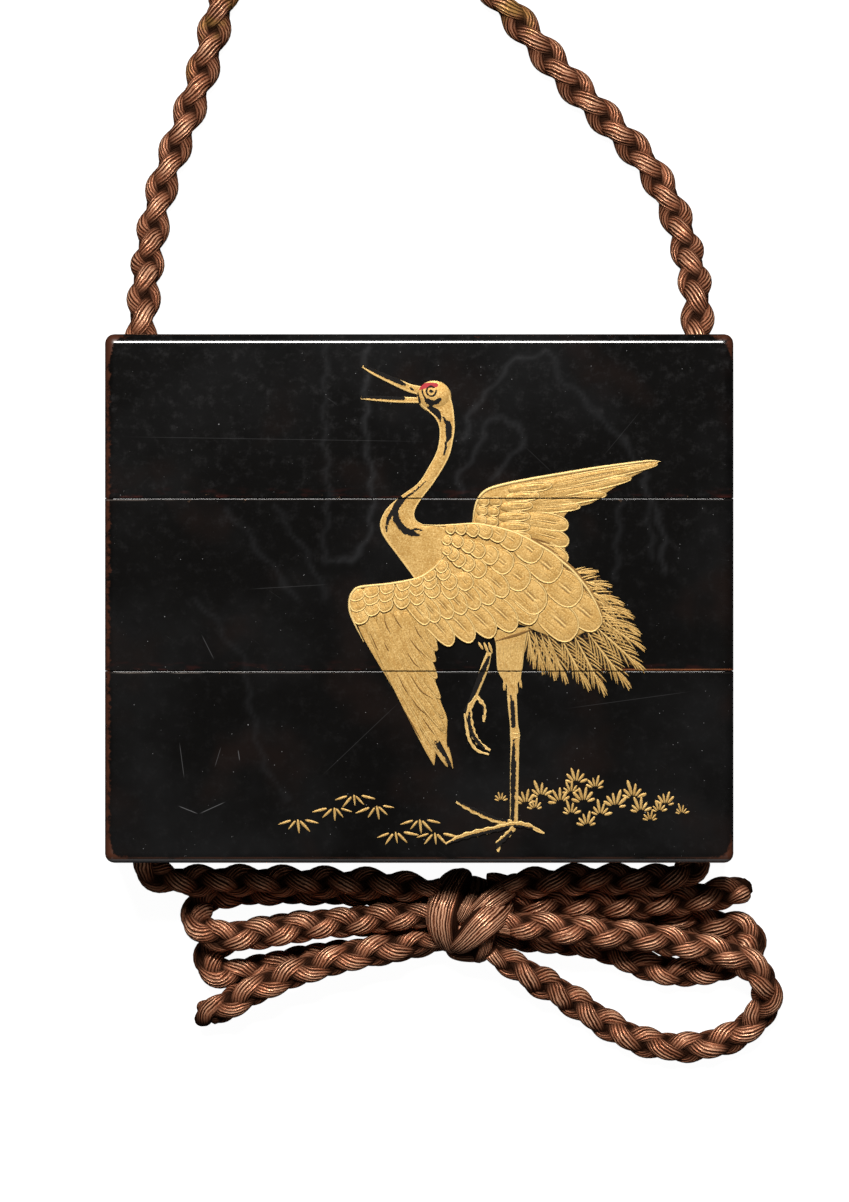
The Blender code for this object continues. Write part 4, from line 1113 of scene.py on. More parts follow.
def add_leaves(
    shells, base, tip, half_width, low, lift=0.0, crown=0.06, bend=0.0, fullness=2.0, taper=0.0, period=0.42,
    rows=FEATHER_ROWS, columns=24, brush=None, edge_line=None, **values,
):
    """Adds feathers or leaves, each from its base to its tip.

    Round a turn a, t = (1 - sgn(cos a)|cos a|^(2/m)) / 2 runs along the axis and
    s = sgn(sin a)|sin a|^(2/m) across it, narrowed by the taper towards the tip. The axis is the straight
    line plus bend x 4 t (1 - t) sideways. Each row lies a share of the way from the shaft, the axis
    without its ends, to that outline. The height rises by the lift from base to tip and by
    crown (1 - share^2) towards the shaft. The stored place across it counts engraved lines."""
    base, tip = np.atleast_2d(np.array(base, float)), np.atleast_2d(np.array(tip, float))
    half_width = np.broadcast_to(np.array(half_width, float), len(base))[:, None]
    run = tip - base
    length = np.linalg.norm(run, axis=1)[:, None]
    normal = turned_left(run) / length
    turn = np.linspace(0, math.tau, columns, endpoint=False)
    cosine, sine = np.cos(turn), np.sin(turn)
    t = ((1 - signed_power(cosine, 2 / fullness)) / 2)[None, :]
    s = signed_power(sine, 2 / fullness) * (1 - taper * t)

    def axis_at(share):
        return (
            base[:, None]
            + run[:, None] * share[..., None]
            + normal[:, None] * (bend * 4 * share * (1 - share))[..., None]
        )

    everywhere = np.broadcast_to(t, (len(base), columns))
    outline = axis_at(everywhere) + normal[:, None] * (s * half_width)[..., None]
    edge = np.minimum(0.45, 0.7 * half_width / length)
    shaft = axis_at(np.clip(everywhere, edge, 1 - edge))
    reach = np.maximum(np.linalg.norm(outline - shaft, axis=2), 1e-6)
    shares = [np.full_like(reach, row[0]) if row[1] is None else 1 - row[1] / reach for row in rows]
    shares = np.maximum.accumulate(np.clip(np.stack(shares, axis=1), 0, 1), axis=1)
    flat = shaft[:, None] * (1 - shares[..., None]) + outline[:, None] * shares[..., None]
    if edge_line is not None:
        flat, outline, shaft = (held_within(points, edge_line) for points in (flat, outline, shaft))
    shown = np.ones((1, len(rows), 1))
    if rows is FEATHER_ROWS:
        towards_tip = np.clip((t - EDGE_SHOWN_FROM) / EDGE_FADE, 0, 1)
        halfway = np.clip(np.minimum(t - SHAFT_SHOWN_FROM, SHAFT_SHOWN_TO - t) / SHAFT_FADE, 0, 1)
        halfway = halfway * np.clip(length / FULL_SHAFT_LENGTH, 0.3, 1)[:, :, None]
        shown = np.where(np.arange(len(rows))[:, None] < SHAFT_ROWS, halfway, towards_tip)
    rim = np.array([row[2] for row in rows])[None, :, None] * shown * values.pop("rims", 1.0)
    groove = np.array([row[3] for row in rows])[None, :, None] * shown * values.pop("grooves", 1.0)
    from_base = flat - base[:, None, None]
    along = (from_base * (run / length)[:, None, None]).sum(axis=3) / length[:, None]
    aside = (from_base * normal[:, None, None]).sum(axis=3)
    level = np.reshape(low, (-1, 1, 1)) + lift * along + crown * (1 - shares**2)
    height = level + RIM_HEIGHT * rim - GROOVE_DEPTH * groove
    height[:, -1] = level[:, -1] - EDGE_DROP
    stored = {"rim": rim, "groove": groove, "across": aside / period, **values}
    if brush:
        stored.update({name: brushed(flat, strokes) for name, strokes in brush.items()})
    add_relief(shells, flat, height, stored, [outline, shaft])


def add_relief(shells, flat, height, stored, underside):
    """Adds shapes given by points (shape, row, column, axis) and heights, closed below with other rows."""
    below = np.stack(underside, axis=1)
    plan = np.concatenate([flat, below], axis=1)
    heights = np.concatenate([height, np.full(below.shape[:3], SINK)], axis=1)
    grid = np.concatenate([plan, heights[..., None]], axis=3) * MM + np.array([0, 0, FACE_Z])
    values = {}
    for name, value in stored.items():
        value = np.broadcast_to(value, flat.shape[:3])
        values[name] = np.concatenate([value, value[:, -1:].repeat(below.shape[1], axis=1)], axis=1)
    shells.add(grid, **values)


def held_within(points, edge_line):
    """The points, with those to the left of a line going along an edge brought back to it.

    A point's distance beyond the edge is its dot product with the normal at the line's nearest place."""
    line = smooth_points(edge_line, 6)
    flat = points.reshape(-1, 2)
    nearest = np.linalg.norm(flat[:, None] - line[None], axis=2).argmin(axis=1)
    normal = turned_left(unit(np.gradient(line, axis=0)))[nearest]
    beyond = ((flat - line[nearest]) * normal).sum(axis=1) + EDGE_INSET
    inner = (nearest > 0) & (nearest < len(line) - 1)
    return (flat - normal * np.where(inner, np.maximum(beyond, 0), 0)[:, None]).reshape(points.shape)


def brushed(points, strokes):
    """1 inside the brush strokes, each given by points (x, y, width), and 0 outside them.

    Each point is compared with places along the stroke: its distance less half the width there."""
    flat = points.reshape(-1, 2)
    cover = np.zeros(len(flat))
    for stroke in strokes:
        places = smooth_points(stroke, 8)
        distance = np.linalg.norm(flat[:, None] - places[None, :, :2], axis=2) - places[None, :, 2] / 2
        cover = np.maximum(cover, np.clip(0.5 - distance.min(axis=1) / BRUSH_SOFTNESS, 0, 1))
    return cover.reshape(points.shape[:-1])


def add_loft(shells, sides, low, crown, steps=6, across=14, rims=0.0, brush=None, **values):
    """Adds a swelling band between two side curves, given by points (left x, left y, right x, right y).

    Across the band the place goes as (1 - cos v) / 2 and the height as the crown times sin v, for v from
    0 to pi."""
    line = smooth_points(sides, steps)
    v = np.linspace(0, math.pi, across)
    share = ((1 - np.cos(v)) / 2)[None, :, None]
    top = line[:, None, :2] * (1 - share) + line[:, None, 2:4] * share
    side_by_side = np.concatenate([top, line[:, None, 2:4], line[:, None, :2]], axis=1)
    height = np.broadcast_to(low + crown * np.sin(v) ** 0.8, top.shape[:2])
    height = np.concatenate([height, np.full((len(line), 2), SINK)], axis=1)
    width = np.linalg.norm(line[:, 2:4] - line[:, :2], axis=1)[:, None]
    inset = np.minimum(share[..., 0], 1 - share[..., 0]) * width
    rim = np.concatenate([rims * np.clip(1.3 - inset / LOFT_RIM, 0, 1), np.zeros((len(line), 2))], axis=1)
    stored = {"rim": rim, **values}
    if brush:
        stored.update({name: brushed(side_by_side, strokes) for name, strokes in brush.items()})
    middle = side_by_side.mean(axis=1, keepdims=True).repeat(side_by_side.shape[1], axis=1)
    plan = np.concatenate([middle[:1], side_by_side, middle[-1:]])
    low_end = np.full((1, height.shape[1]), (low + SINK) / 2)
    heights = np.concatenate([low_end, height, low_end]) + RIM_HEIGHT * with_ends(rim.T).T
    grid = np.concatenate([plan, heights[..., None]], axis=2) * MM + np.array([0, 0, FACE_Z])
    padded = {}
    for name, value in stored.items():
        padded[name] = with_ends(np.broadcast_to(value, side_by_side.shape[:2]).T).T[None]
    shells.add(grid[None], **padded)


def stroke_sides(stroke):
    """The two sides of a stroke whose points give x, y and width."""
    line = smooth_points(stroke, 6)
    across = turned_left(unit(np.gradient(line[:, :2], axis=0))) * line[:, 2:3] / 2
    return np.concatenate([line[:, :2] + across, line[:, :2] - across], axis=1)


def add_stroke(shells, stroke, low, crown, across=8, **values):
    """Adds a band of varying width along a curve."""
    add_loft(shells, stroke_sides(stroke), low, crown, steps=1, across=across, **values)


def add_line(shells, path, width, low, crown=0.04, **values):
    """Adds a thin line that narrows at both ends."""
    path = np.array(path, float)
    share = np.linspace(-1, 1, len(path))
    widths = width * (1 - 0.75 * share**4)
    add_stroke(shells, np.concatenate([path, widths[:, None]], axis=1), low, crown, across=6, **values)


def add_feather_row(shells, roots, tips, count, half_width, low, **shape):
    """Adds a row of feathers side by side, from places along one curve to places along another."""
    levels = low + 0.006 * np.arange(count)
    add_leaves(shells, evenly(roots, count), evenly(tips, count), half_width, levels, 0.06, **shape)


# -----------------------------------------------------------------------------------------------------------
# Crane
# -----------------------------------------------------------------------------------------------------------

TAIL_LEVEL, BACK_WING_LEVEL, LEG_LEVEL = 0.08, 0.12, 0.14
NECK_LEVEL, BODY_LEVEL, FRONT_WING_LEVEL = 0.20, 0.16, 0.24

# Both sides of the neck and breast, from the cheek down: left x, left y, right x, right y.
NECK_SIDES = (
    (0.1, 23.6, 3.6, 24.3), (0.2, 23.1, 3.92, 23.4), (0.9, 22.45, 4.12, 22.3), (1.85, 21.55, 4.22, 21.2),
    (2.35, 20.5, 4.22, 20.0), (2.4, 19.2, 4.05, 18.9), (2.1, 17.6, 3.7, 17.3), (1.25, 15.9, 3.0, 15.8),
    (-0.1, 13.8, 1.6, 13.6), (-2.2, 12.2, 0.3, 11.9), (-3.8, 10.8, -0.5, 10.5), (-4.6, 9.3, -0.4, 9.4),
    (-4.55, 8.0, 0.8, 8.75), (-3.8, 6.7, 2.5, 8.6), (-2.9, 5.5, 3.9, 7.4), (-1.7, 3.9, 4.2, 5.6),
    (-0.6, 2.4, 3.4, 4.2),
)
FACE_PAINT = (
    ((0.75, 23.8, 0.2), (1.05, 23.5, 0.6), (1.6, 23.3, 0.52), (2.1, 23.45, 0.52), (2.5, 23.75, 0.3)),
    ((1.25, 23.3, 0.55), (1.35, 22.9, 0.3), (1.3, 22.65, 0.25)),
    ((1.0, 22.8, 0.16), (1.6, 22.5, 0.62), (2.1, 22.15, 0.72), (2.45, 21.5, 0.36), (2.5, 21.1, 0.14)),
    ((0.36, 24.95, 0.14), (0.42, 24.4, 0.17), (0.75, 23.8, 0.16)),
    ((-0.3, 25.5, 0.14), (-0.22, 24.6, 0.17), (-0.05, 23.9, 0.2), (0.02, 23.4, 0.4)),
)
NECK_PAINT = (
    ((2.9, 21.6, 0.14), (3.15, 21.1, 0.34), (3.45, 20.8, 0.62), (3.52, 20.0, 0.74), (3.5, 19.2, 0.56),
     (3.3, 18.7, 0.2)),
    ((3.2, 18.7, 0.16), (3.15, 17.9, 0.26), (2.95, 17.1, 0.12)),
    ((-1.6, 12.0, 0.3), (-2.7, 10.9, 0.45), (-3.45, 9.9, 0.45), (-3.85, 8.9, 0.3), (-3.9, 7.9, 0.15)),
    ((-2.2, 12.0, 0.4), (-2.8, 10.8, 0.7), (-2.75, 9.6, 0.7), (-2.2, 8.6, 0.7), (-1.3, 7.9, 0.75),
     (-0.1, 7.5, 0.2)),
    ((-2.3, 11.0, 0.2), (-3.0, 9.6, 0.25), (-3.1, 8.8, 0.1)),
    ((-1.4, 7.7, 0.2), (-0.5, 8.25, 0.24), (0.3, 8.1, 0.08)),
    ((0.7, 13.9, 0.1), (-0.4, 12.9, 0.2), (-1.6, 12.0, 0.26)),
)
CROWN_PAINT = (((0.1, 25.1, 0.5), (0.55, 25.3, 0.62), (1.25, 25.42, 0.6), (2.0, 25.42, 0.5)),)
HEAD_ENDS, HEAD_HALF_WIDTH = ((-0.25, 24.25), (3.8, 23.9)), 1.88
EYE = (1.44, 24.70)
EYE_RADIUS, EYE_LINE, PUPIL = 0.57, 0.17, 0.38  # radius and width of its ring, and width of the pupil
UPPER_BEAK = (
    (-6.75, 27.65, 0.32), (-5.4, 27.0, 0.72), (-3.0, 25.9, 0.95), (-1.2, 25.1, 1.0), (0.2, 24.75, 1.1),
)
LOWER_BEAK = ((-6.95, 23.9, 0.35), (-5.0, 23.85, 0.68), (-2.4, 23.7, 0.76), (0.1, 23.62, 0.66))
UPPER_BEAK_PAINT = (
    ((-6.5, 27.68, 0.3), (-4.8, 26.92, 0.55), (-3.0, 26.12, 0.62), (-1.8, 25.50, 0.34)),
    ((-1.05, 25.05, 0.2), (-0.8, 24.9, 0.2)),
)
LOWER_BEAK_PAINT = (((-6.8, 24.0, 0.3), (-5.0, 24.02, 0.52), (-3.0, 23.96, 0.56), (-1.9, 23.84, 0.40)),)

BODY_TOP = (
    (0.5, 8.8), (2.3, 8.7), (4.5, 8.8), (6.6, 8.9), (8.6, 8.6), (10.6, 8.1), (12.4, 7.4), (14.2, 6.4),
    (15.7, 5.5), (16.9, 4.5), (18.3, 3.3), (19.4, 2.0), (20.4, 0.6), (21.2, -0.9), (21.7, -2.2),
    (21.8, -3.0),
)
BODY_UNDER = (
    (0.6, 6.4), (1.6, 4.4), (2.6, 3.4), (4.0, 2.4), (5.4, 1.0), (6.8, -0.4), (8.2, -1.6), (9.6, -2.4),
    (11.0, -2.8), (12.4, -3.2), (13.8, -3.8), (15.4, -4.4), (17.0, -4.6), (18.6, -4.5), (19.8, -4.0),
    (20.8, -3.7),
)
WING_SIDES = (
    (-8.2, -0.9, -7.6, -2.4), (-8.1, 0.3, -6.8, -3.4), (-7.0, 1.2, -4.8, -4.2), (-5.2, 1.5, -2.4, -4.4),
    (-3.4, 1.65, 0.0, -4.4), (-0.6, 2.2, 2.2, -4.8), (1.4, 3.2, 5.2, -4.4), (3.4, 4.6, 7.6, -3.8),
    (5.4, 5.0, 9.6, -3.0), (7.4, 4.0, 11.4, -2.2),
)
WING_EDGE = (
    (-6.6, -5.2), (-7.8, -2.8), (-8.28, -1.4), (-8.28, -0.1), (-7.85, 0.85), (-6.95, 1.38), (-3.5, 1.75),
    (-0.4, 2.35), (1.2, 3.2), (2.3, 4.2), (2.95, 5.1),
)
WING_EDGE_END_X = 2.8  # left of it feathers keep within the wing's edge, right of it within the body's
# Feathers of the front wing and the body. Each row: level, lean from straight down in degrees at both ends
# of the row, length at both ends, half the width at both ends, then the tips.
COVERTS = (
    (0.25, (50, 48), (5.6, 5.6), (2.0, 2.1), ((21.5, -3.5), (18.5, -4.7))),
    (0.265, (50, 50), (4.8, 4.8), (2.05, 2.05), ((19.0, -0.5),)),
    (0.285, (44, 50), (6.2, 5.6), (1.3, 1.7), ((4.0, -5.6), (6.45, -5.15), (8.95, -4.55), (11.5, -3.75),
      (13.9, -2.8))),
    (0.30, (50, 50), (4.5, 4.5), (2.0, 2.0), ((16.6, 2.4),)),
    (0.31, (46, 46), (5.0, 5.0), (1.95, 1.95), ((14.7, -1.5),)),
    (0.32, (52, 52), (3.6, 3.6), (1.7, 1.7), ((14.4, 4.7), (12.9, 1.4))),
    (0.34, (40, 48), (4.2, 4.4), (1.05, 1.3), ((1.05, -3.1), (2.3, -2.8), (3.9, -2.35), (5.5, -1.8),
      (7.15, -1.2), (8.85, -0.6), (10.5, 0.3))),
    (0.345, (50, 56), (3.0, 2.8), (1.5, 1.4), ((10.9, 3.3), (12.0, 6.2))),
    (0.36, (32, 56), (2.4, 2.4), (1.05, 1.2), ((4.2, 0.0), (6.05, 1.05), (7.7, 2.65), (9.2, 4.35),
      (10.2, 7.1))),
    (0.375, (18, 54), (2.2, 2.2), (1.05, 0.95), ((-6.8, -3.1), (-5.35, -2.1), (-3.75, -1.6), (-1.65, -1.15),
      (0.2, -0.7), (2.1, 0.15), (4.2, 1.2), (6.4, 3.4), (7.7, 5.0), (8.6, 7.35))),
    (0.39, (16, 52), (1.9, 1.8), (1.05, 0.85), ((-7.15, -1.6), (-5.5, -0.8), (-3.7, -0.4), (-1.7, -0.1),
      (0.1, 0.4), (1.75, 1.2), (3.4, 2.3), (5.3, 3.9), (6.4, 5.6), (7.0, 7.55))),
    (0.405, (14, 50), (1.6, 1.6), (1.0, 0.75), ((-7.35, -0.35), (-5.5, 0.1), (-3.6, 0.55), (-1.6, 0.95),
      (0.0, 1.5), (1.6, 2.15), (3.1, 3.15), (4.5, 4.6), (5.1, 6.2), (5.5, 7.75))),
    (0.42, (50, 50), (1.3, 1.3), (0.65, 0.7), ((3.75, 5.3), (3.75, 6.5), (4.2, 7.85))),
)
# Long feathers of the front wing, the outermost first: base x, base y, tip x, tip y.
PRIMARIES = (
    (-7.1, -1.2, 1.8, -19.9), (-6.6, -1.6, 3.36, -20.1), (-6.0, -1.7, 4.0, -20.3), (-5.0, -1.5, 3.2, -16.1),
    (-4.0, -1.5, 2.9, -14.3), (-2.9, -1.5, 2.5, -12.0), (-1.8, -1.6, 2.1, -9.6), (-0.7, -1.6, 1.9, -7.6),
    (0.4, -1.6, 2.1, -6.3),
)
PRIMARY_WIDTHS = (0.6, 0.75, 0.85, 1.1, 1.15, 1.2, 1.2, 1.1, 1.0)
PRIMARY_BENDS = (0.0, -0.25, -0.45, -0.5, -0.45, -0.45, -0.4, -0.4, -0.35)
PRIMARY_SIDES = (
    (-7.9, -1.4, 2.4, -4.0), (-6.9, -4.2, 1.9, -6.2), (-5.1, -7.4, 1.6, -8.2), (-3.3, -10.4, 2.2, -10.8),
    (-2.2, -12.4, 2.6, -12.4), (-1.2, -14.2, 3.3, -14.2), (-0.4, -15.6, 3.3, -15.8),
    (0.6, -17.3, 3.3, -17.3), (1.1, -18.3, 3.55, -18.3),
)
# The three points that the wing ends in: x, y and width.
WING_POINTS = (
    ((1.35, -17.6, 1.2), (1.55, -18.7, 0.85), (1.75, -19.85, 0.15)),
    ((2.7, -17.8, 1.0), (3.0, -19.0, 0.75), (3.36, -20.05, 0.15)),
    ((3.2, -17.8, 0.7), (3.6, -19.1, 0.6), (4.0, -20.25, 0.12)),
)
WING_TIP_PAINT = (
    ((1.7, -17.3, 0.3), (2.25, -17.6, 0.7), (2.85, -18.0, 0.5), (3.25, -18.9, 0.42), (3.72, -20.2, 0.42)),
)
# Fine engraved strokes on the long feathers.
WING_STROKES = (
    ((-4.2, -2.2), (-3.9, -3.3), (-3.4, -4.2)), ((-3.1, -1.8), (-2.6, -2.8), (-2.0, -3.6)),
    ((-0.6, -3.2), (-0.1, -4.2), (0.4, -4.8)), ((-1.2, -4.7), (-0.3, -5.9), (0.9, -7.0)),
    ((-1.4, -6.5), (-0.6, -7.7), (0.1, -8.3)), ((-1.0, -9.2), (0.2, -11.0), (1.7, -12.0)),
    ((-0.8, -12.0), (0.0, -13.1), (1.0, -13.9)), ((-5.8, -4.2), (-5.2, -5.6), (-4.9, -6.2)),
    ((-4.2, -5.2), (-3.8, -6.0), (-3.6, -6.3)), ((-1.6, -13.6), (-0.6, -15.4), (0.2, -16.8)),
    ((-2.6, -9.0), (-1.8, -10.6), (-1.3, -11.4)), ((0.4, -14.2), (1.2, -15.4), (1.8, -16.2)),
)

BACK_WING_SIDES = (
    (6.4, 9.0, 7.4, 7.6), (6.6, 10.6, 9.4, 7.4), (7.1, 12.1, 11.4, 6.8), (8.1, 13.0, 13.4, 5.9),
    (10.1, 13.6, 15.4, 4.9), (12.4, 14.05, 17.3, 4.1), (14.6, 14.45, 17.3, 7.0), (17.1, 14.9, 17.2, 9.6),
    (19.4, 15.3, 18.6, 10.8), (21.6, 15.6, 20.6, 11.4), (24.2, 16.0, 22.6, 12.8), (26.4, 16.3, 25.4, 14.5),
    (28.6, 16.3, 28.2, 15.9),
)
BACK_WING_EDGE = (
    (6.35, 8.9), (6.6, 10.6), (7.1, 12.0), (8.1, 12.95), (10.1, 13.6), (13.6, 14.3), (17.1, 14.9),
    (20.7, 15.5), (24.2, 16.0), (27.4, 16.4), (28.8, 16.3),
)
BACK_PRIMARIES = (
    (12.2, 10.7, 19.3, 10.95), (12.2, 11.4, 22.4, 12.4), (12.1, 12.1, 25.4, 14.35), (12.0, 12.7, 28.5, 16.0),
)
BACK_PRIMARY_WIDTHS = (0.95, 1.1, 1.1, 0.85)
BACK_FINGERS = ((12.4, 6.7, 17.8, 4.5), (12.4, 8.1, 17.9, 6.6), (12.4, 9.5, 17.85, 8.6))
BACK_COVERTS = (
    (9.6, 7.6, 13.4, 7.2), (9.4, 8.6, 13.3, 8.5), (9.4, 9.7, 13.3, 9.8), (9.6, 10.9, 13.6, 11.1),
    (10.2, 12.0, 14.4, 12.3), (10.6, 12.9, 15.9, 13.5),
)
# Small feathers of the back wing: their tips, how far off their roots lie, how many, and half the width.
BACK_SCALES = (
    (((9.9, 11.5), (9.6, 10.3), (9.5, 9.1)), (-1.6, 0.1), 3, 0.66),
    (((8.4, 11.5), (8.2, 10.3), (8.1, 9.3)), (-1.4, 0.1), 3, 0.60),
)

# Painted shade: dark wedges between the back wing and the body's upper edge, where the back wing's ground
# lies in shadow.
WEDGES = (
    ((13.4, 7.2), (14.9, 6.75), (16.2, 5.9)), ((15.2, 6.2), (16.6, 5.2), (17.5, 4.3)),
    ((10.9, 8.3), (12.0, 8.0), (13.0, 7.5)), ((9.0, 8.85), (9.9, 8.7), (10.6, 8.5)),
)

# Tail plumes, the highest first: x and y where the shaft starts and ends, and half the width.
PLUMES = (
    (17.6, 3.0, 21.4, 3.2, 0.65), (18.4, 2.2, 23.0, 1.4, 1.1), (19.2, 1.2, 24.4, -0.8, 1.1),
    (19.8, 0.4, 25.6, -2.4, 1.2), (20.4, -0.8, 26.4, -4.4, 1.2), (20.6, -1.8, 26.9, -6.2, 1.25),
    (20.4, -2.8, 26.9, -8.7, 1.35), (19.6, -3.4, 25.1, -10.8, 1.45), (18.2, -3.9, 22.2, -11.6, 1.4),
    (16.6, -4.2, 20.3, -11.0, 1.3), (15.2, -4.2, 17.6, -10.2, 1.2), (14.5, -4.1, 16.2, -9.8, 1.0),
    (13.8, -4.0, 14.8, -9.1, 1.1), (12.9, -3.2, 13.7, -8.4, 0.9),
)
BARB_STEP = 0.85  # between two barbs along a plume
BARB_REACH, BARB_LEAN = 2.8, math.radians(27)  # a barb's length and its angle to the shaft
BARB_UNEVENNESS = 0.14  # share by which their lengths differ
VANE_SHARE = 0.12  # how much of a plume's shaft stands out beyond its vane

THIGH_SIDES = (
    (8.6, -3.8, 13.0, -3.4), (9.1, -5.3, 12.66, -5.26), (9.2, -7.0, 12.45, -7.0), (9.3, -8.4, 12.3, -8.4),
    (9.7, -9.3, 12.1, -9.3), (10.35, -10.2, 11.75, -10.2), (10.6, -10.9, 11.6, -10.9),
)
STANDING_LEG = (
    (11.0, -9.8, 1.15), (11.1, -12.4, 1.15), (11.3, -15.0, 1.0), (11.42, -16.2, 1.2), (11.4, -17.4, 1.05),
    (11.36, -20.0, 1.05), (11.32, -23.0, 1.0), (11.28, -26.9, 0.95),
)
STANDING_LEG_PAINT = (
    ((11.0, -11.6, 0.25), (11.15, -13.5, 0.54), (11.25, -15.2, 0.46)),
    ((11.3, -16.9, 0.3), (11.22, -20.0, 0.6), (11.17, -23.0, 0.56), (11.1, -26.3, 0.46)),
)
RAISED_LEG = (
    (8.35, -6.4, 0.6), (7.9, -7.9, 0.95), (7.5, -9.1, 0.95), (6.9, -10.6, 0.9), (6.3, -12.2, 0.85),
    (5.6, -13.6, 0.8),
)
RAISED_LEG_PAINT = (
    ((8.3, -7.0, 0.3), (7.75, -8.3, 0.6), (7.3, -9.2, 0.7), (6.6, -10.8, 0.72), (5.95, -12.4, 0.68),
     (5.3, -13.8, 0.55)),
)
KNEE_LINES = (-16.05, -16.5)  # heights of the two lines across the standing leg
THIGH_FEATHERS = 17
THIGH_ROOTS, THIGH_TIPS = ((9.3, -4.8), (12.6, -4.6)), ((10.0, -10.2), (12.0, -10.0))
THIGH_RAGGEDNESS = 0.9  # how unevenly the thigh's feathers end
# Tufts at the lower ends of the thighs: base x, base y, tip x, tip y.
TUFTS = (
    (10.2, -9.6, 10.1, -11.0), (10.7, -9.8, 10.6, -11.6), (11.5, -9.8, 11.7, -11.4),
    (11.9, -9.3, 12.2, -10.7), (7.05, -5.2, 7.62, -6.1), (7.7, -5.2, 8.26, -6.55), (8.26, -5.2, 8.72, -6.55),
)
TOE_WIDTH, TOE_KNOBS = 0.86, 0.15  # shares of its width that a toe keeps and that swell at its joints
TOE_JOINTS = 1.7  # how fast the joints follow each other
TOE_PAINT_WIDTH = 1.45
# Toes: the gold of each, then the black brushed along it.
TOES = (
    (((4.4, -24.25, 0.3), (5.8, -24.95, 0.75), (7.6, -25.8, 0.85), (9.4, -26.5, 0.8), (11.0, -26.7, 0.7)),
     ((4.6, -24.2, 0.1), (6.2, -24.9, 0.3), (8.6, -26.0, 0.34), (10.4, -26.5, 0.2))),
    (((3.2, -29.25, 0.3), (4.9, -28.5, 0.85), (6.9, -27.95, 0.95), (9.0, -27.5, 0.9), (11.3, -27.0, 0.9),
      (12.9, -27.1, 0.8), (14.9, -28.0, 0.3)),
     ((3.4, -29.3, 0.15), (5.2, -28.7, 0.36), (7.6, -28.0, 0.3), (10.0, -27.5, 0.36), (11.6, -27.2, 0.3),
      (13.4, -27.45, 0.2))),
    (((11.3, -27.3, 0.7), (10.35, -28.35, 0.85), (9.5, -29.2, 0.85), (9.4, -30.2, 0.4)),
     ((11.0, -27.8, 0.2), (10.0, -28.9, 0.36), (9.1, -29.6, 0.4), (8.3, -30.3, 0.2))),
    (((6.9, -11.6, 0.5), (6.0, -13.1, 0.75), (6.1, -14.8, 0.8), (6.5, -16.2, 0.8), (7.2, -17.3, 0.7),
      (8.45, -18.1, 0.35)),
     ((6.0, -13.6, 0.15), (5.95, -14.9, 0.3), (6.4, -16.3, 0.28), (7.3, -17.5, 0.3), (7.8, -17.9, 0.1))),
    (((5.4, -13.7, 0.25), (5.7, -15.6, 0.45), (6.0, -16.9, 0.42), (6.9, -18.1, 0.42), (8.3, -18.6, 0.25)),
     ((5.2, -14.4, 0.12), (5.4, -16.4, 0.2), (6.1, -17.7, 0.15))),
    (((6.9, -11.7, 0.45), (7.5, -12.5, 0.62), (7.75, -13.4, 0.6), (7.7, -14.7, 0.38)),
     ((7.3, -12.7, 0.2), (7.5, -13.0, 0.25), (7.6, -13.8, 0.12))),
)


def ends_of(feathers):
    """The bases and the tips of feathers given by base x, base y, tip x and tip y."""
    feathers = np.array(feathers)
    return feathers[:, :2], feathers[:, 2:]


def plume_barbs(plume):
    """Bases and tips of a plume's barbs: they leave the shaft at even steps, alternately left and right,
    and lean out from it by one angle, up to the plume's outline. At the share v of the shaft its width is
    its greatest times 1 - ((v - 0.55) / 0.5)^2."""
    x0, y0, x1, y1, half_width = plume
    start, run = np.array([x0, y0]), np.array([x1 - x0, y1 - y0])
    length = np.linalg.norm(run)
    normal = turned_left(run) / length
    count = round(length / BARB_STEP)
    side = np.tile([1.0, -1.0], count)
    reach = BARB_REACH * (1 + BARB_UNEVENNESS * np.sin(np.arange(2 * count) * 2.4 + x0))
    ahead = reach * math.cos(BARB_LEAN) / length
    u = np.linspace(0.05, 1 - 0.45 * BARB_REACH / length, 2 * count)
    tip_u = np.minimum(u + ahead, 1.02)
    outline = half_width * np.clip(1 - ((tip_u - 0.55) / 0.5) ** 2, 0.16, 1)
    out = np.minimum(reach * math.sin(BARB_LEAN), outline)
    base = start + run * u[:, None] + normal * (side * 0.03)[:, None]
    tip = start + run * tip_u[:, None] + normal * (side * out)[:, None]
    return base, tip


def add_tail(shells):
    """The tail: of each plume a dark vane, its barbs and its shaft."""
    for number, plume in enumerate(PLUMES):
        x0, y0, x1, y1, half_width = plume
        vane_end = x1 - VANE_SHARE * (x1 - x0), y1 - VANE_SHARE * (y1 - y0)
        level = TAIL_LEVEL + 0.012 * (number % 3)
        add_leaves(
            shells, (x0, y0), vane_end, half_width * 0.8, level - 0.03, 0.0, 0.02, fullness=1.8,
            rows=PLAIN_ROWS, grooves=0.0, rims=0.0, groove=1.0, paint=0.50,
        )
        base, tip = plume_barbs(plume)
        add_leaves(
            shells, base, tip, 0.105, level + 0.03, 0.02, 0.08, bend=0.10, fullness=1.7, rows=PLAIN_ROWS,
            columns=10, grooves=0.3,
        )
        middle = (x0 + x1) / 2, (y0 + y1) / 2
        add_line(shells, ((x0, y0), middle, (x1, y1)), 0.32, level + 0.05, rim=0.4)


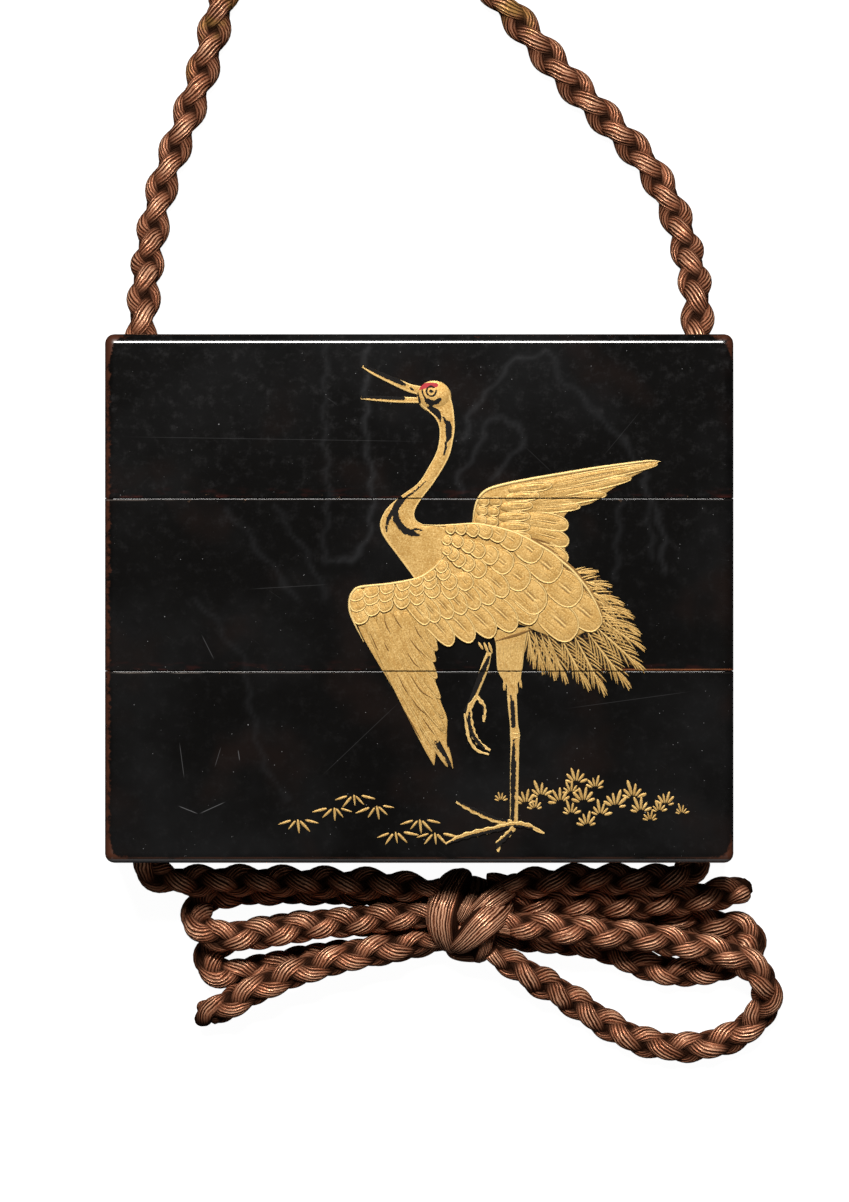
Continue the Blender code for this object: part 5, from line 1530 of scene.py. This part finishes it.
def add_legs(shells):
    """Both legs: the thigh with its feathers and tufts, the shanks with their black paint, and the toes."""
    add_loft(shells, THIGH_SIDES, LEG_LEVEL, 0.08, rims=0.6)
    share = np.linspace(0.04, 0.96, THIGH_FEATHERS)[:, None]
    ends = map(np.array, (THIGH_ROOTS, THIGH_TIPS))
    base, tip = (pair[:1] * (1 - share) + pair[1:] * share for pair in ends)
    tip[:, 1] += THIGH_RAGGEDNESS * np.sin(np.arange(THIGH_FEATHERS) * 2.3)
    add_leaves(
        shells, base, tip, 0.12, LEG_LEVEL + 0.12, -0.02, 0.04, fullness=1.6, rows=PLAIN_ROWS, columns=10,
        grooves=2.2,
    )
    # Painted shadow: a brown line across the top of the thigh, under the coverts' lower edge.
    add_line(shells, ((9.0, -5.1), (11.4, -4.4), (13.4, -3.7)), 0.36, LEG_LEVEL + 0.09, 0.02, groove=1.0)
    add_leaves(shells, *ends_of(TUFTS), 0.17, LEG_LEVEL + 0.05, 0.0, 0.05, rows=PLAIN_ROWS, columns=10)
    add_stroke(shells, STANDING_LEG, LEG_LEVEL - 0.02, 0.07, rims=0.8, brush={"paint": STANDING_LEG_PAINT})
    add_stroke(shells, RAISED_LEG, LEG_LEVEL - 0.03, 0.07, rims=0.8, brush={"paint": RAISED_LEG_PAINT})
    for y in KNEE_LINES:
        add_line(shells, ((11.0, y), (11.5, y - 0.08), (12.0, y)), 0.16, LEG_LEVEL + 0.08, rim=1.0)
    for number, (toe, paint) in enumerate(TOES):
        level = LEG_LEVEL - 0.02 + 0.015 * number
        line = smooth_points(toe, 6)
        line[:, 2] *= TOE_WIDTH + TOE_KNOBS * np.sin(TOE_JOINTS * np.arange(len(line)))
        broad = np.array(paint) * (1, 1, TOE_PAINT_WIDTH)
        add_stroke(shells, line, level, 0.07, across=10, rims=0.8, brush={"paint": (broad,)})


def add_back_wing(shells):
    """The wing behind the body: its ground, its long feathers, the small ones over them and its edge."""
    level = BACK_WING_LEVEL
    add_loft(shells, BACK_WING_SIDES, level - 0.06, 0.03)
    heights = level + 0.01 * np.arange(len(BACK_FINGERS))
    add_leaves(shells, *ends_of(BACK_FINGERS), 1.12, heights, 0.02, fullness=2.6, lines=0.3, bend=0.15)
    heights = level + 0.01 + 0.014 * np.arange(len(BACK_PRIMARIES))
    add_leaves(
        shells, *ends_of(BACK_PRIMARIES), BACK_PRIMARY_WIDTHS, heights, 0.0, 0.05, bend=0.10, fullness=2.3,
        taper=0.25, lines=0.45, edge_line=BACK_WING_EDGE,
    )
    heights = level + 0.05 + 0.006 * np.arange(len(BACK_COVERTS))
    add_leaves(
        shells, *ends_of(BACK_COVERTS), 0.66, heights, 0.04, fullness=2.5, lines=0.3,
        edge_line=BACK_WING_EDGE,
    )
    for tips, step, count, half_width in BACK_SCALES:
        add_feather_row(shells, np.array(tips) + step, tips, count, half_width, level + 0.07, fullness=2.3)
    # Painted highlight: a pale line along the back wing's upper edge.
    add_line(shells, BACK_WING_EDGE, 0.36, level + 0.05, 0.08, rim=1.0)


def add_body(shells):
    """The body: its ground, a dark line along its back, its upper edge with a painted highlight, and the
    wedges of painted shade above that.
    """
    add_loft(shells, np.concatenate([BODY_TOP, BODY_UNDER], axis=1), BODY_LEVEL, 0.04)
    add_line(shells, BODY_TOP[3:], 0.75, BODY_LEVEL + 0.02, 0.03, groove=0.9)
    # Painted highlight: a pale line along the body's upper edge, which faces the light.
    add_line(shells, BODY_TOP, 0.34, BODY_LEVEL + 0.12, 0.09, rim=1.0)
    for number, path in enumerate(WEDGES):
        add_line(shells, path, 0.42, BODY_LEVEL - 0.01 + 0.004 * number, 0.03, groove=1.0)


def add_coverts(shells):
    """The rows of feathers over the front wing and the body. A feather's root lies its length away from
    its tip, against the direction that leans from straight down."""
    for level, lean, length, half_width, tips in COVERTS:
        tips = np.array(tips)
        share = np.linspace(0, 1, len(tips))
        angle, reach, widths = (first + (last - first) * share for first, last in (lean, length, half_width))
        angle = np.radians(angle)
        roots = tips - np.stack([np.sin(angle), -np.cos(angle)], axis=1) * reach[:, None]
        on_wing = tips[:, 0] < WING_EDGE_END_X
        for chosen, edge_line in ((on_wing, WING_EDGE), (~on_wing, BODY_TOP)):
            if not chosen.any():
                continue
            levels = (level + 0.004 * np.arange(len(tips)))[chosen]
            add_leaves(
                shells, roots[chosen], tips[chosen], widths[chosen], levels, 0.10, crown=0.03, fullness=2.3,
                edge_line=edge_line, bend=0.06 * length[0], lines=np.clip(length[0] / 4 - 0.8, 0, 0.38),
                period=0.72,
            )


def add_head(shells):
    """The head and neck: the beak, the band from the cheek to the breast, and the round of the head."""
    for beak, paint in ((UPPER_BEAK, UPPER_BEAK_PAINT), (LOWER_BEAK, LOWER_BEAK_PAINT)):
        add_stroke(shells, beak, LEG_LEVEL, 0.08, across=12, rims=0.8, brush={"paint": paint})
    add_loft(
        shells, NECK_SIDES, NECK_LEVEL, 0.10, steps=14, across=22, rims=0.9,
        brush={"paint": FACE_PAINT + NECK_PAINT},
    )
    ring = np.linspace(0.15 * math.tau, 1.02 * math.tau, 16)
    round_x, round_y = EYE[0] + EYE_RADIUS * np.cos(ring), EYE[1] + EYE_RADIUS * np.sin(ring)
    eye = np.stack([round_x, round_y, np.full(len(ring), EYE_LINE)], axis=1)
    pupil = ((EYE[0] - 0.05, EYE[1], PUPIL), (EYE[0] + 0.05, EYE[1], PUPIL))
    add_leaves(
        shells, *HEAD_ENDS, HEAD_HALF_WIDTH, NECK_LEVEL + 0.02, 0.0, 0.14, rows=DISC_ROWS, columns=72,
        brush={"paint": (*FACE_PAINT, eye, pupil), "red": CROWN_PAINT},
    )


def add_front_wing(shells):
    """The wing over the body: its ground, its long feathers and points, the small ones and its edge."""
    level = FRONT_WING_LEVEL
    add_loft(shells, PRIMARY_SIDES, level - 0.06, 0.04)
    add_loft(shells, WING_SIDES, level - 0.04, 0.03)
    heights = level - 0.02 + 0.012 * np.arange(len(PRIMARIES))
    bends = np.array(PRIMARY_BENDS)[:, None]
    add_leaves(
        shells, *ends_of(PRIMARIES), PRIMARY_WIDTHS, heights, 0.0, 0.04, bend=bends, fullness=2.2,
        taper=0.35, columns=32, lines=0.3, period=0.5, rims=0.35, grooves=0.6,
        brush={"paint": WING_TIP_PAINT},
    )
    for stroke in WING_POINTS:
        add_stroke(shells, stroke, level - 0.05, 0.05)
    for stroke in WING_STROKES:
        add_line(shells, stroke, 0.15, level + 0.10, 0.02, groove=1.0)
    add_coverts(shells)
    # Painted highlight: a pale line along the wing's leading edge.
    add_line(shells, WING_EDGE, 0.34, level + 0.17, 0.09, rim=1.0)


def cut_between(mesh, low_y, high_y):
    """Keeps what lies between two heights of the case, and closes the cuts."""
    with edited(mesh) as shape:
        for height, way in ((low_y, -1), (high_y, 1)):
            parts = shape.verts[:] + shape.edges[:] + shape.faces[:]
            found = bmesh.ops.bisect_plane(
                shape, geom=parts, dist=1e-8, plane_co=(0, height, 0), plane_no=(0, way, 0), clear_outer=True
            )
            cut = [part for part in found["geom_cut"] if isinstance(part, bmesh.types.BMEdge)]
            if cut:
                bmesh.ops.holes_fill(shape, edges=cut)


def add_relief_pieces(name, mesh, gold, spans):
    """Cuts a raised mesh at the seams and adds one piece for each box."""
    for part, (low_y, high_y) in spans.items():
        cut = mesh.copy()
        cut_between(cut, low_y, high_y)
        cut.name = f"{name}_{part}"
        if len(cut.polygons):
            new_piece(cut.name, cut, gold, sharp_angle=GOLD_SHARP_ANGLE)
        else:
            bpy.data.meshes.remove(cut)
    bpy.data.meshes.remove(mesh)


# -----------------------------------------------------------------------------------------------------------
# Plants at the crane's feet
# -----------------------------------------------------------------------------------------------------------

PLANT_LEVEL = 0.06
BAMBOO_HALF_WIDTH, PINE_HALF_WIDTH = 0.21, 0.15
BAMBOO_TAPER, PINE_TAPER = 0.5, -0.4  # how much a leaf narrows towards its tip, or widens
# Middles of the sprigs where their leaves meet, with their size and how far each is turned in radians.
BAMBOO = (
    (-14.5, -26.2, 1.0, 0.0), (-10.1, -24.8, 0.95, -0.1), (-7.8, -23.3, 0.95, 0.0), (-5.1, -24.6, 0.95, 0.1),
    (0.05, -26.2, 1.0, 0.0), (-2.85, -27.7, 1.0, 0.05), (1.85, -27.8, 1.0, 0.0),
)
PINE = (
    (12.7, -24.6, 0.95, 0.0), (14.5, -23.7, 1.0, -0.1), (18.7, -22.1, 1.0, 0.0), (16.8, -24.4, 1.0, -0.2),
    (18.1, -23.3, 0.8, -0.1), (19.6, -24.4, 1.05, 0.0), (21.0, -22.7, 0.8, 0.1), (18.1, -25.8, 0.85, 0.0),
    (21.6, -25.95, 0.95, 0.1), (23.4, -24.95, 1.05, 0.15), (25.5, -23.9, 1.1, 0.0),
    (26.4, -25.55, 1.0, -0.1), (28.6, -25.5, 0.75, 0.0), (29.35, -24.7, 0.85, 0.1),
    (31.3, -25.75, 0.65, 0.0), (13.8, -25.2, 0.7, 0.0), (20.0, -27.2, 0.9, 0.0), (27.55, -26.55, 0.65, 0.0),
    (9.75, -24.2, 0.6, 0.0),
)
# Leaves of one sprig: direction in degrees from straight down or straight up, and where along it the leaf
# starts and ends, in millimetres.
BAMBOO_LEAVES = ((-72, 0.85, 2.6), (-40, 0.4, 2.0), (6, 0.1, 1.75), (43, 0.35, 2.0), (77, 0.9, 2.6))
PINE_NEEDLES = (
    (-72, 0.45, 1.4), (-44, 0.4, 1.6), (-17, 0.35, 1.95), (10, 0.35, 1.95), (38, 0.4, 1.6), (68, 0.45, 1.4),
)


def add_sprigs(shells, sprigs, leaves, upwards, half_width, taper):
    """Adds leaves that fan out round the middle of each sprig."""
    places = np.array(sprigs)
    turn, first, last = np.array(leaves).T
    angle = np.radians(turn)[None] + places[:, 3:4] * (1 + 0.3 * np.sin(5 * places[:, :1] + 7 * turn[None]))
    way = np.stack([np.sin(angle), np.cos(angle) * upwards], axis=2)
    size = places[:, 2:3] * (1 + 0.12 * np.sin(3 * places[:, 1:2] + 2 * turn[None]))
    middle = places[:, None, :2]
    base = (middle + way * (first * size)[..., None]).reshape(-1, 2)
    tip = (middle + way * (last * size)[..., None]).reshape(-1, 2)
    add_leaves(
        shells, base, tip, half_width * size.reshape(-1), PLANT_LEVEL, 0.0, 0.07, fullness=2.2, taper=taper,
        rows=PLAIN_ROWS, columns=12, grooves=0.4,
    )


# -----------------------------------------------------------------------------------------------------------
# Operators
# -----------------------------------------------------------------------------------------------------------

FRAME_CENTRE = (0.63 * MM, -0.3 * MM)  # what the camera looks straight down on
FRAME_HEIGHT = 143.3 * MM  # height of its view, measured at the case's front
SENSOR = 36.0
NEAR_CLIP = 0.05
FLOOR_REACH = 3.0
STUDIO_COLOUR, STUDIO_STRENGTH = (0.95, 0.97, 1.0, 1.0), 0.03
# Name of each light, its size, its place and its colour.
LIGHTS = (
    ("key", (0.36, 0.22), (-0.06, 0.45, 0.95), (1.0, 0.98, 0.95)),
    ("fill", (0.5, 0.5), (0.40, -0.60, 0.70), (1.0, 0.96, 0.92)),
)


def add_area_light(name, power, size, place, colour):
    """A rectangular light that shines on the frame's origin."""
    light = bpy.data.lights.new(name, "AREA")
    light.energy = power
    light.shape = "RECTANGLE"
    light.size, light.size_y = size
    light.color = colour
    holder = bpy.data.objects.new(name, light)
    holder.location = place
    holder.rotation_euler = (-Vector(place)).to_track_quat("-Z", "Y").to_euler()
    bpy.context.scene.collection.objects.link(holder)


class InroAddStage(bpy.types.Operator):
    """Adds the camera that looks down on the case, the pale floor and soft light"""

    bl_idname = "inro.add_stage"
    bl_label = "Stage"

    def execute(self, context):
        settings = context.scene.inro_stage
        scene = context.scene
        lens = bpy.data.cameras.new("camera")
        lens.sensor_fit = "VERTICAL"
        lens.sensor_height = SENSOR
        lens.lens = SENSOR * (settings.camera_height - FACE_Z) / FRAME_HEIGHT
        lens.clip_start = NEAR_CLIP
        camera = bpy.data.objects.new("camera", lens)
        camera.location = (*FRAME_CENTRE, settings.camera_height)
        scene.collection.objects.link(camera)
        scene.camera = camera
        corners = np.array([(-1, -1, 0), (1, -1, 0), (1, 1, 0), (-1, 1, 0)]) * FLOOR_REACH
        mesh = new_mesh("floor", corners, np.array([(0, 1, 2, 3)]), {})
        mesh.materials.append(floor_finish(settings))
        floor = bpy.data.objects.new("floor", mesh)
        floor.visible_diffuse = False
        floor.visible_glossy = False
        scene.collection.objects.link(floor)
        world = bpy.data.worlds.new("studio")
        world.use_nodes = True
        background = world.node_tree.nodes["Background"]
        background.inputs["Color"].default_value = STUDIO_COLOUR
        background.inputs["Strength"].default_value = STUDIO_STRENGTH
        scene.world = world
        scene.view_settings.view_transform = "Standard"
        for name, size, place, colour in LIGHTS:
            add_area_light(name, getattr(settings, f"{name}_power"), size, place, colour)
        return {"FINISHED"}


class InroAddCords(bpy.types.Operator):
    """Adds the bow's knot and the braided cords that run into it"""

    bl_idname = "inro.add_cords"
    bl_label = "Cords and Knot"

    def execute(self, context):
        settings = context.scene.inro_cord
        knot = add_knot(silk_finish(settings, "knotted_silk", *KNOT_THREADS))
        braid = silk_finish(settings, "braided_silk", *BRAID_THREADS)
        for name, node, route, free_end, turn, phase in CORDS:
            add_cord(name, node, route, free_end, turn, phase, braid, settings)
        return {"FINISHED"}


class InroAddBoxes(bpy.types.Operator):
    """Adds the lid, the middle box and the bottom box in black lacquer"""

    bl_idname = "inro.add_boxes"
    bl_label = "Boxes"

    def execute(self, context):
        settings = context.scene.inro_boxes
        lacquer = lacquer_finish(settings)
        sections = sections_of(settings.edge_radius)
        outer, edge, rim = sections[OUTER], settings.edge_radius, settings.rim_radius
        lid_low, middle_rim = LID_SEAM_Y + SEAM_PLAY, LID_SEAM_Y - SEAM_PLAY
        middle_low, bottom_rim = BOTTOM_SEAM_Y + SEAM_PLAY, BOTTOM_SEAM_Y - SEAM_PLAY
        lid_rows = foot_rows(sections, lid_low, TOP_Y - END_PLATE, rim)
        lid_rows += wall_rows(outer, lid_low + rim + SUPPORT, TOP_Y - edge - SUPPORT)
        lid_rows += rounding(outer, edge, TOP_Y, 1)
        ceiling_y = BOTTOM_SEAM_Y + RISER_HEIGHT + FIT_GAP
        middle_rows = foot_rows(sections, middle_low, ceiling_y, rim)
        middle_rows += wall_rows(outer, middle_low + rim + SUPPORT, middle_rim - rim - SUPPORT)
        middle_rows += mouth_rows(sections, middle_rim, ceiling_y + END_PLATE, rim)
        bottom_rows = rounding(outer, edge, BASE_Y, -1)[::-1]
        bottom_rows += wall_rows(outer, BASE_Y + edge + SUPPORT, bottom_rim - rim - SUPPORT)
        bottom_rows += mouth_rows(sections, bottom_rim, BASE_Y + END_PLATE, rim)
        add_box("lacquer_lid", "lid", lid_rows, lacquer)
        add_box("lacquer_middle", "middle_case", middle_rows, lacquer)
        add_box("lacquer_bottom", "bottom_case", bottom_rows, lacquer)
        return {"FINISHED"}


class InroAddCrane(bpy.types.Operator):
    """Adds the raised gold crane, cut at the seams"""

    bl_idname = "inro.add_crane"
    bl_label = "Crane"

    def execute(self, context):
        shells = Shells(*RELIEF_VALUES)
        for add in (add_tail, add_back_wing, add_legs, add_head, add_body, add_front_wing):
            add(shells)
        gold = gold_finish(context.scene.inro_relief)
        add_relief_pieces("crane", shells.mesh("crane"), gold, relief_spans(context))
        return {"FINISHED"}


class InroAddPlants(bpy.types.Operator):
    """Adds the raised gold bamboo sprigs and pine needles at the crane's feet"""

    bl_idname = "inro.add_plants"
    bl_label = "Plants"

    def execute(self, context):
        shells = Shells(*RELIEF_VALUES)
        add_sprigs(shells, BAMBOO, BAMBOO_LEAVES, -1, BAMBOO_HALF_WIDTH, BAMBOO_TAPER)
        add_sprigs(shells, PINE, PINE_NEEDLES, 1, PINE_HALF_WIDTH, PINE_TAPER)
        gold = bpy.data.materials.get("raised_gold_lacquer") or gold_finish(context.scene.inro_relief)
        add_relief_pieces("plants", shells.mesh("plants"), gold, relief_spans(context))
        return {"FINISHED"}


def relief_spans(context):
    """From where to where each box carries the picture, between the roundings at its seams."""
    play = SEAM_PLAY + 0.6 * context.scene.inro_boxes.rim_radius
    return {
        "lid": (LID_SEAM_Y + play, TOP_Y),
        "middle": (BOTTOM_SEAM_Y + play, LID_SEAM_Y - play),
        "bottom": (BASE_Y, BOTTOM_SEAM_Y - play),
    }


class InroPanel(bpy.types.Panel):
    """Shows the case's settings and the buttons that add its pieces"""

    bl_idname = "VIEW3D_PT_inro"
    bl_label = "Inro Case"
    bl_space_type = "VIEW_3D"
    bl_region_type = "UI"
    bl_category = "Inro"

    def draw(self, context):
        layout = self.layout
        for owner, group in SETTINGS.items():
            box = layout.box()
            box.label(text=group.__doc__)
            for name in group.__annotations__:
                box.prop(getattr(context.scene, owner), name)
        for operator in OPERATORS:
            layout.operator(operator.bl_idname)


SETTINGS = {
    "inro_stage": InroStageSettings,
    "inro_cord": InroCordSettings,
    "inro_boxes": InroBoxSettings,
    "inro_relief": InroReliefSettings,
}
OPERATORS = (InroAddStage, InroAddCords, InroAddBoxes, InroAddCrane, InroAddPlants)


def register():
    for name, group in SETTINGS.items():
        bpy.utils.register_class(group)
        setattr(bpy.types.Scene, name, bpy.props.PointerProperty(type=group))
    for kind in (*OPERATORS, InroPanel):
        bpy.utils.register_class(kind)


def unregister():
    for kind in reversed((*OPERATORS, InroPanel)):
        bpy.utils.unregister_class(kind)
    for name, group in reversed(SETTINGS.items()):
        delattr(bpy.types.Scene, name)
        bpy.utils.unregister_class(group)


def main():
    register()
    bpy.ops.inro.add_stage()
    bpy.ops.inro.add_cords()
    bpy.ops.inro.add_boxes()
    bpy.ops.inro.add_crane()
    bpy.ops.inro.add_plants()


if __name__ == "__main__":
    main()
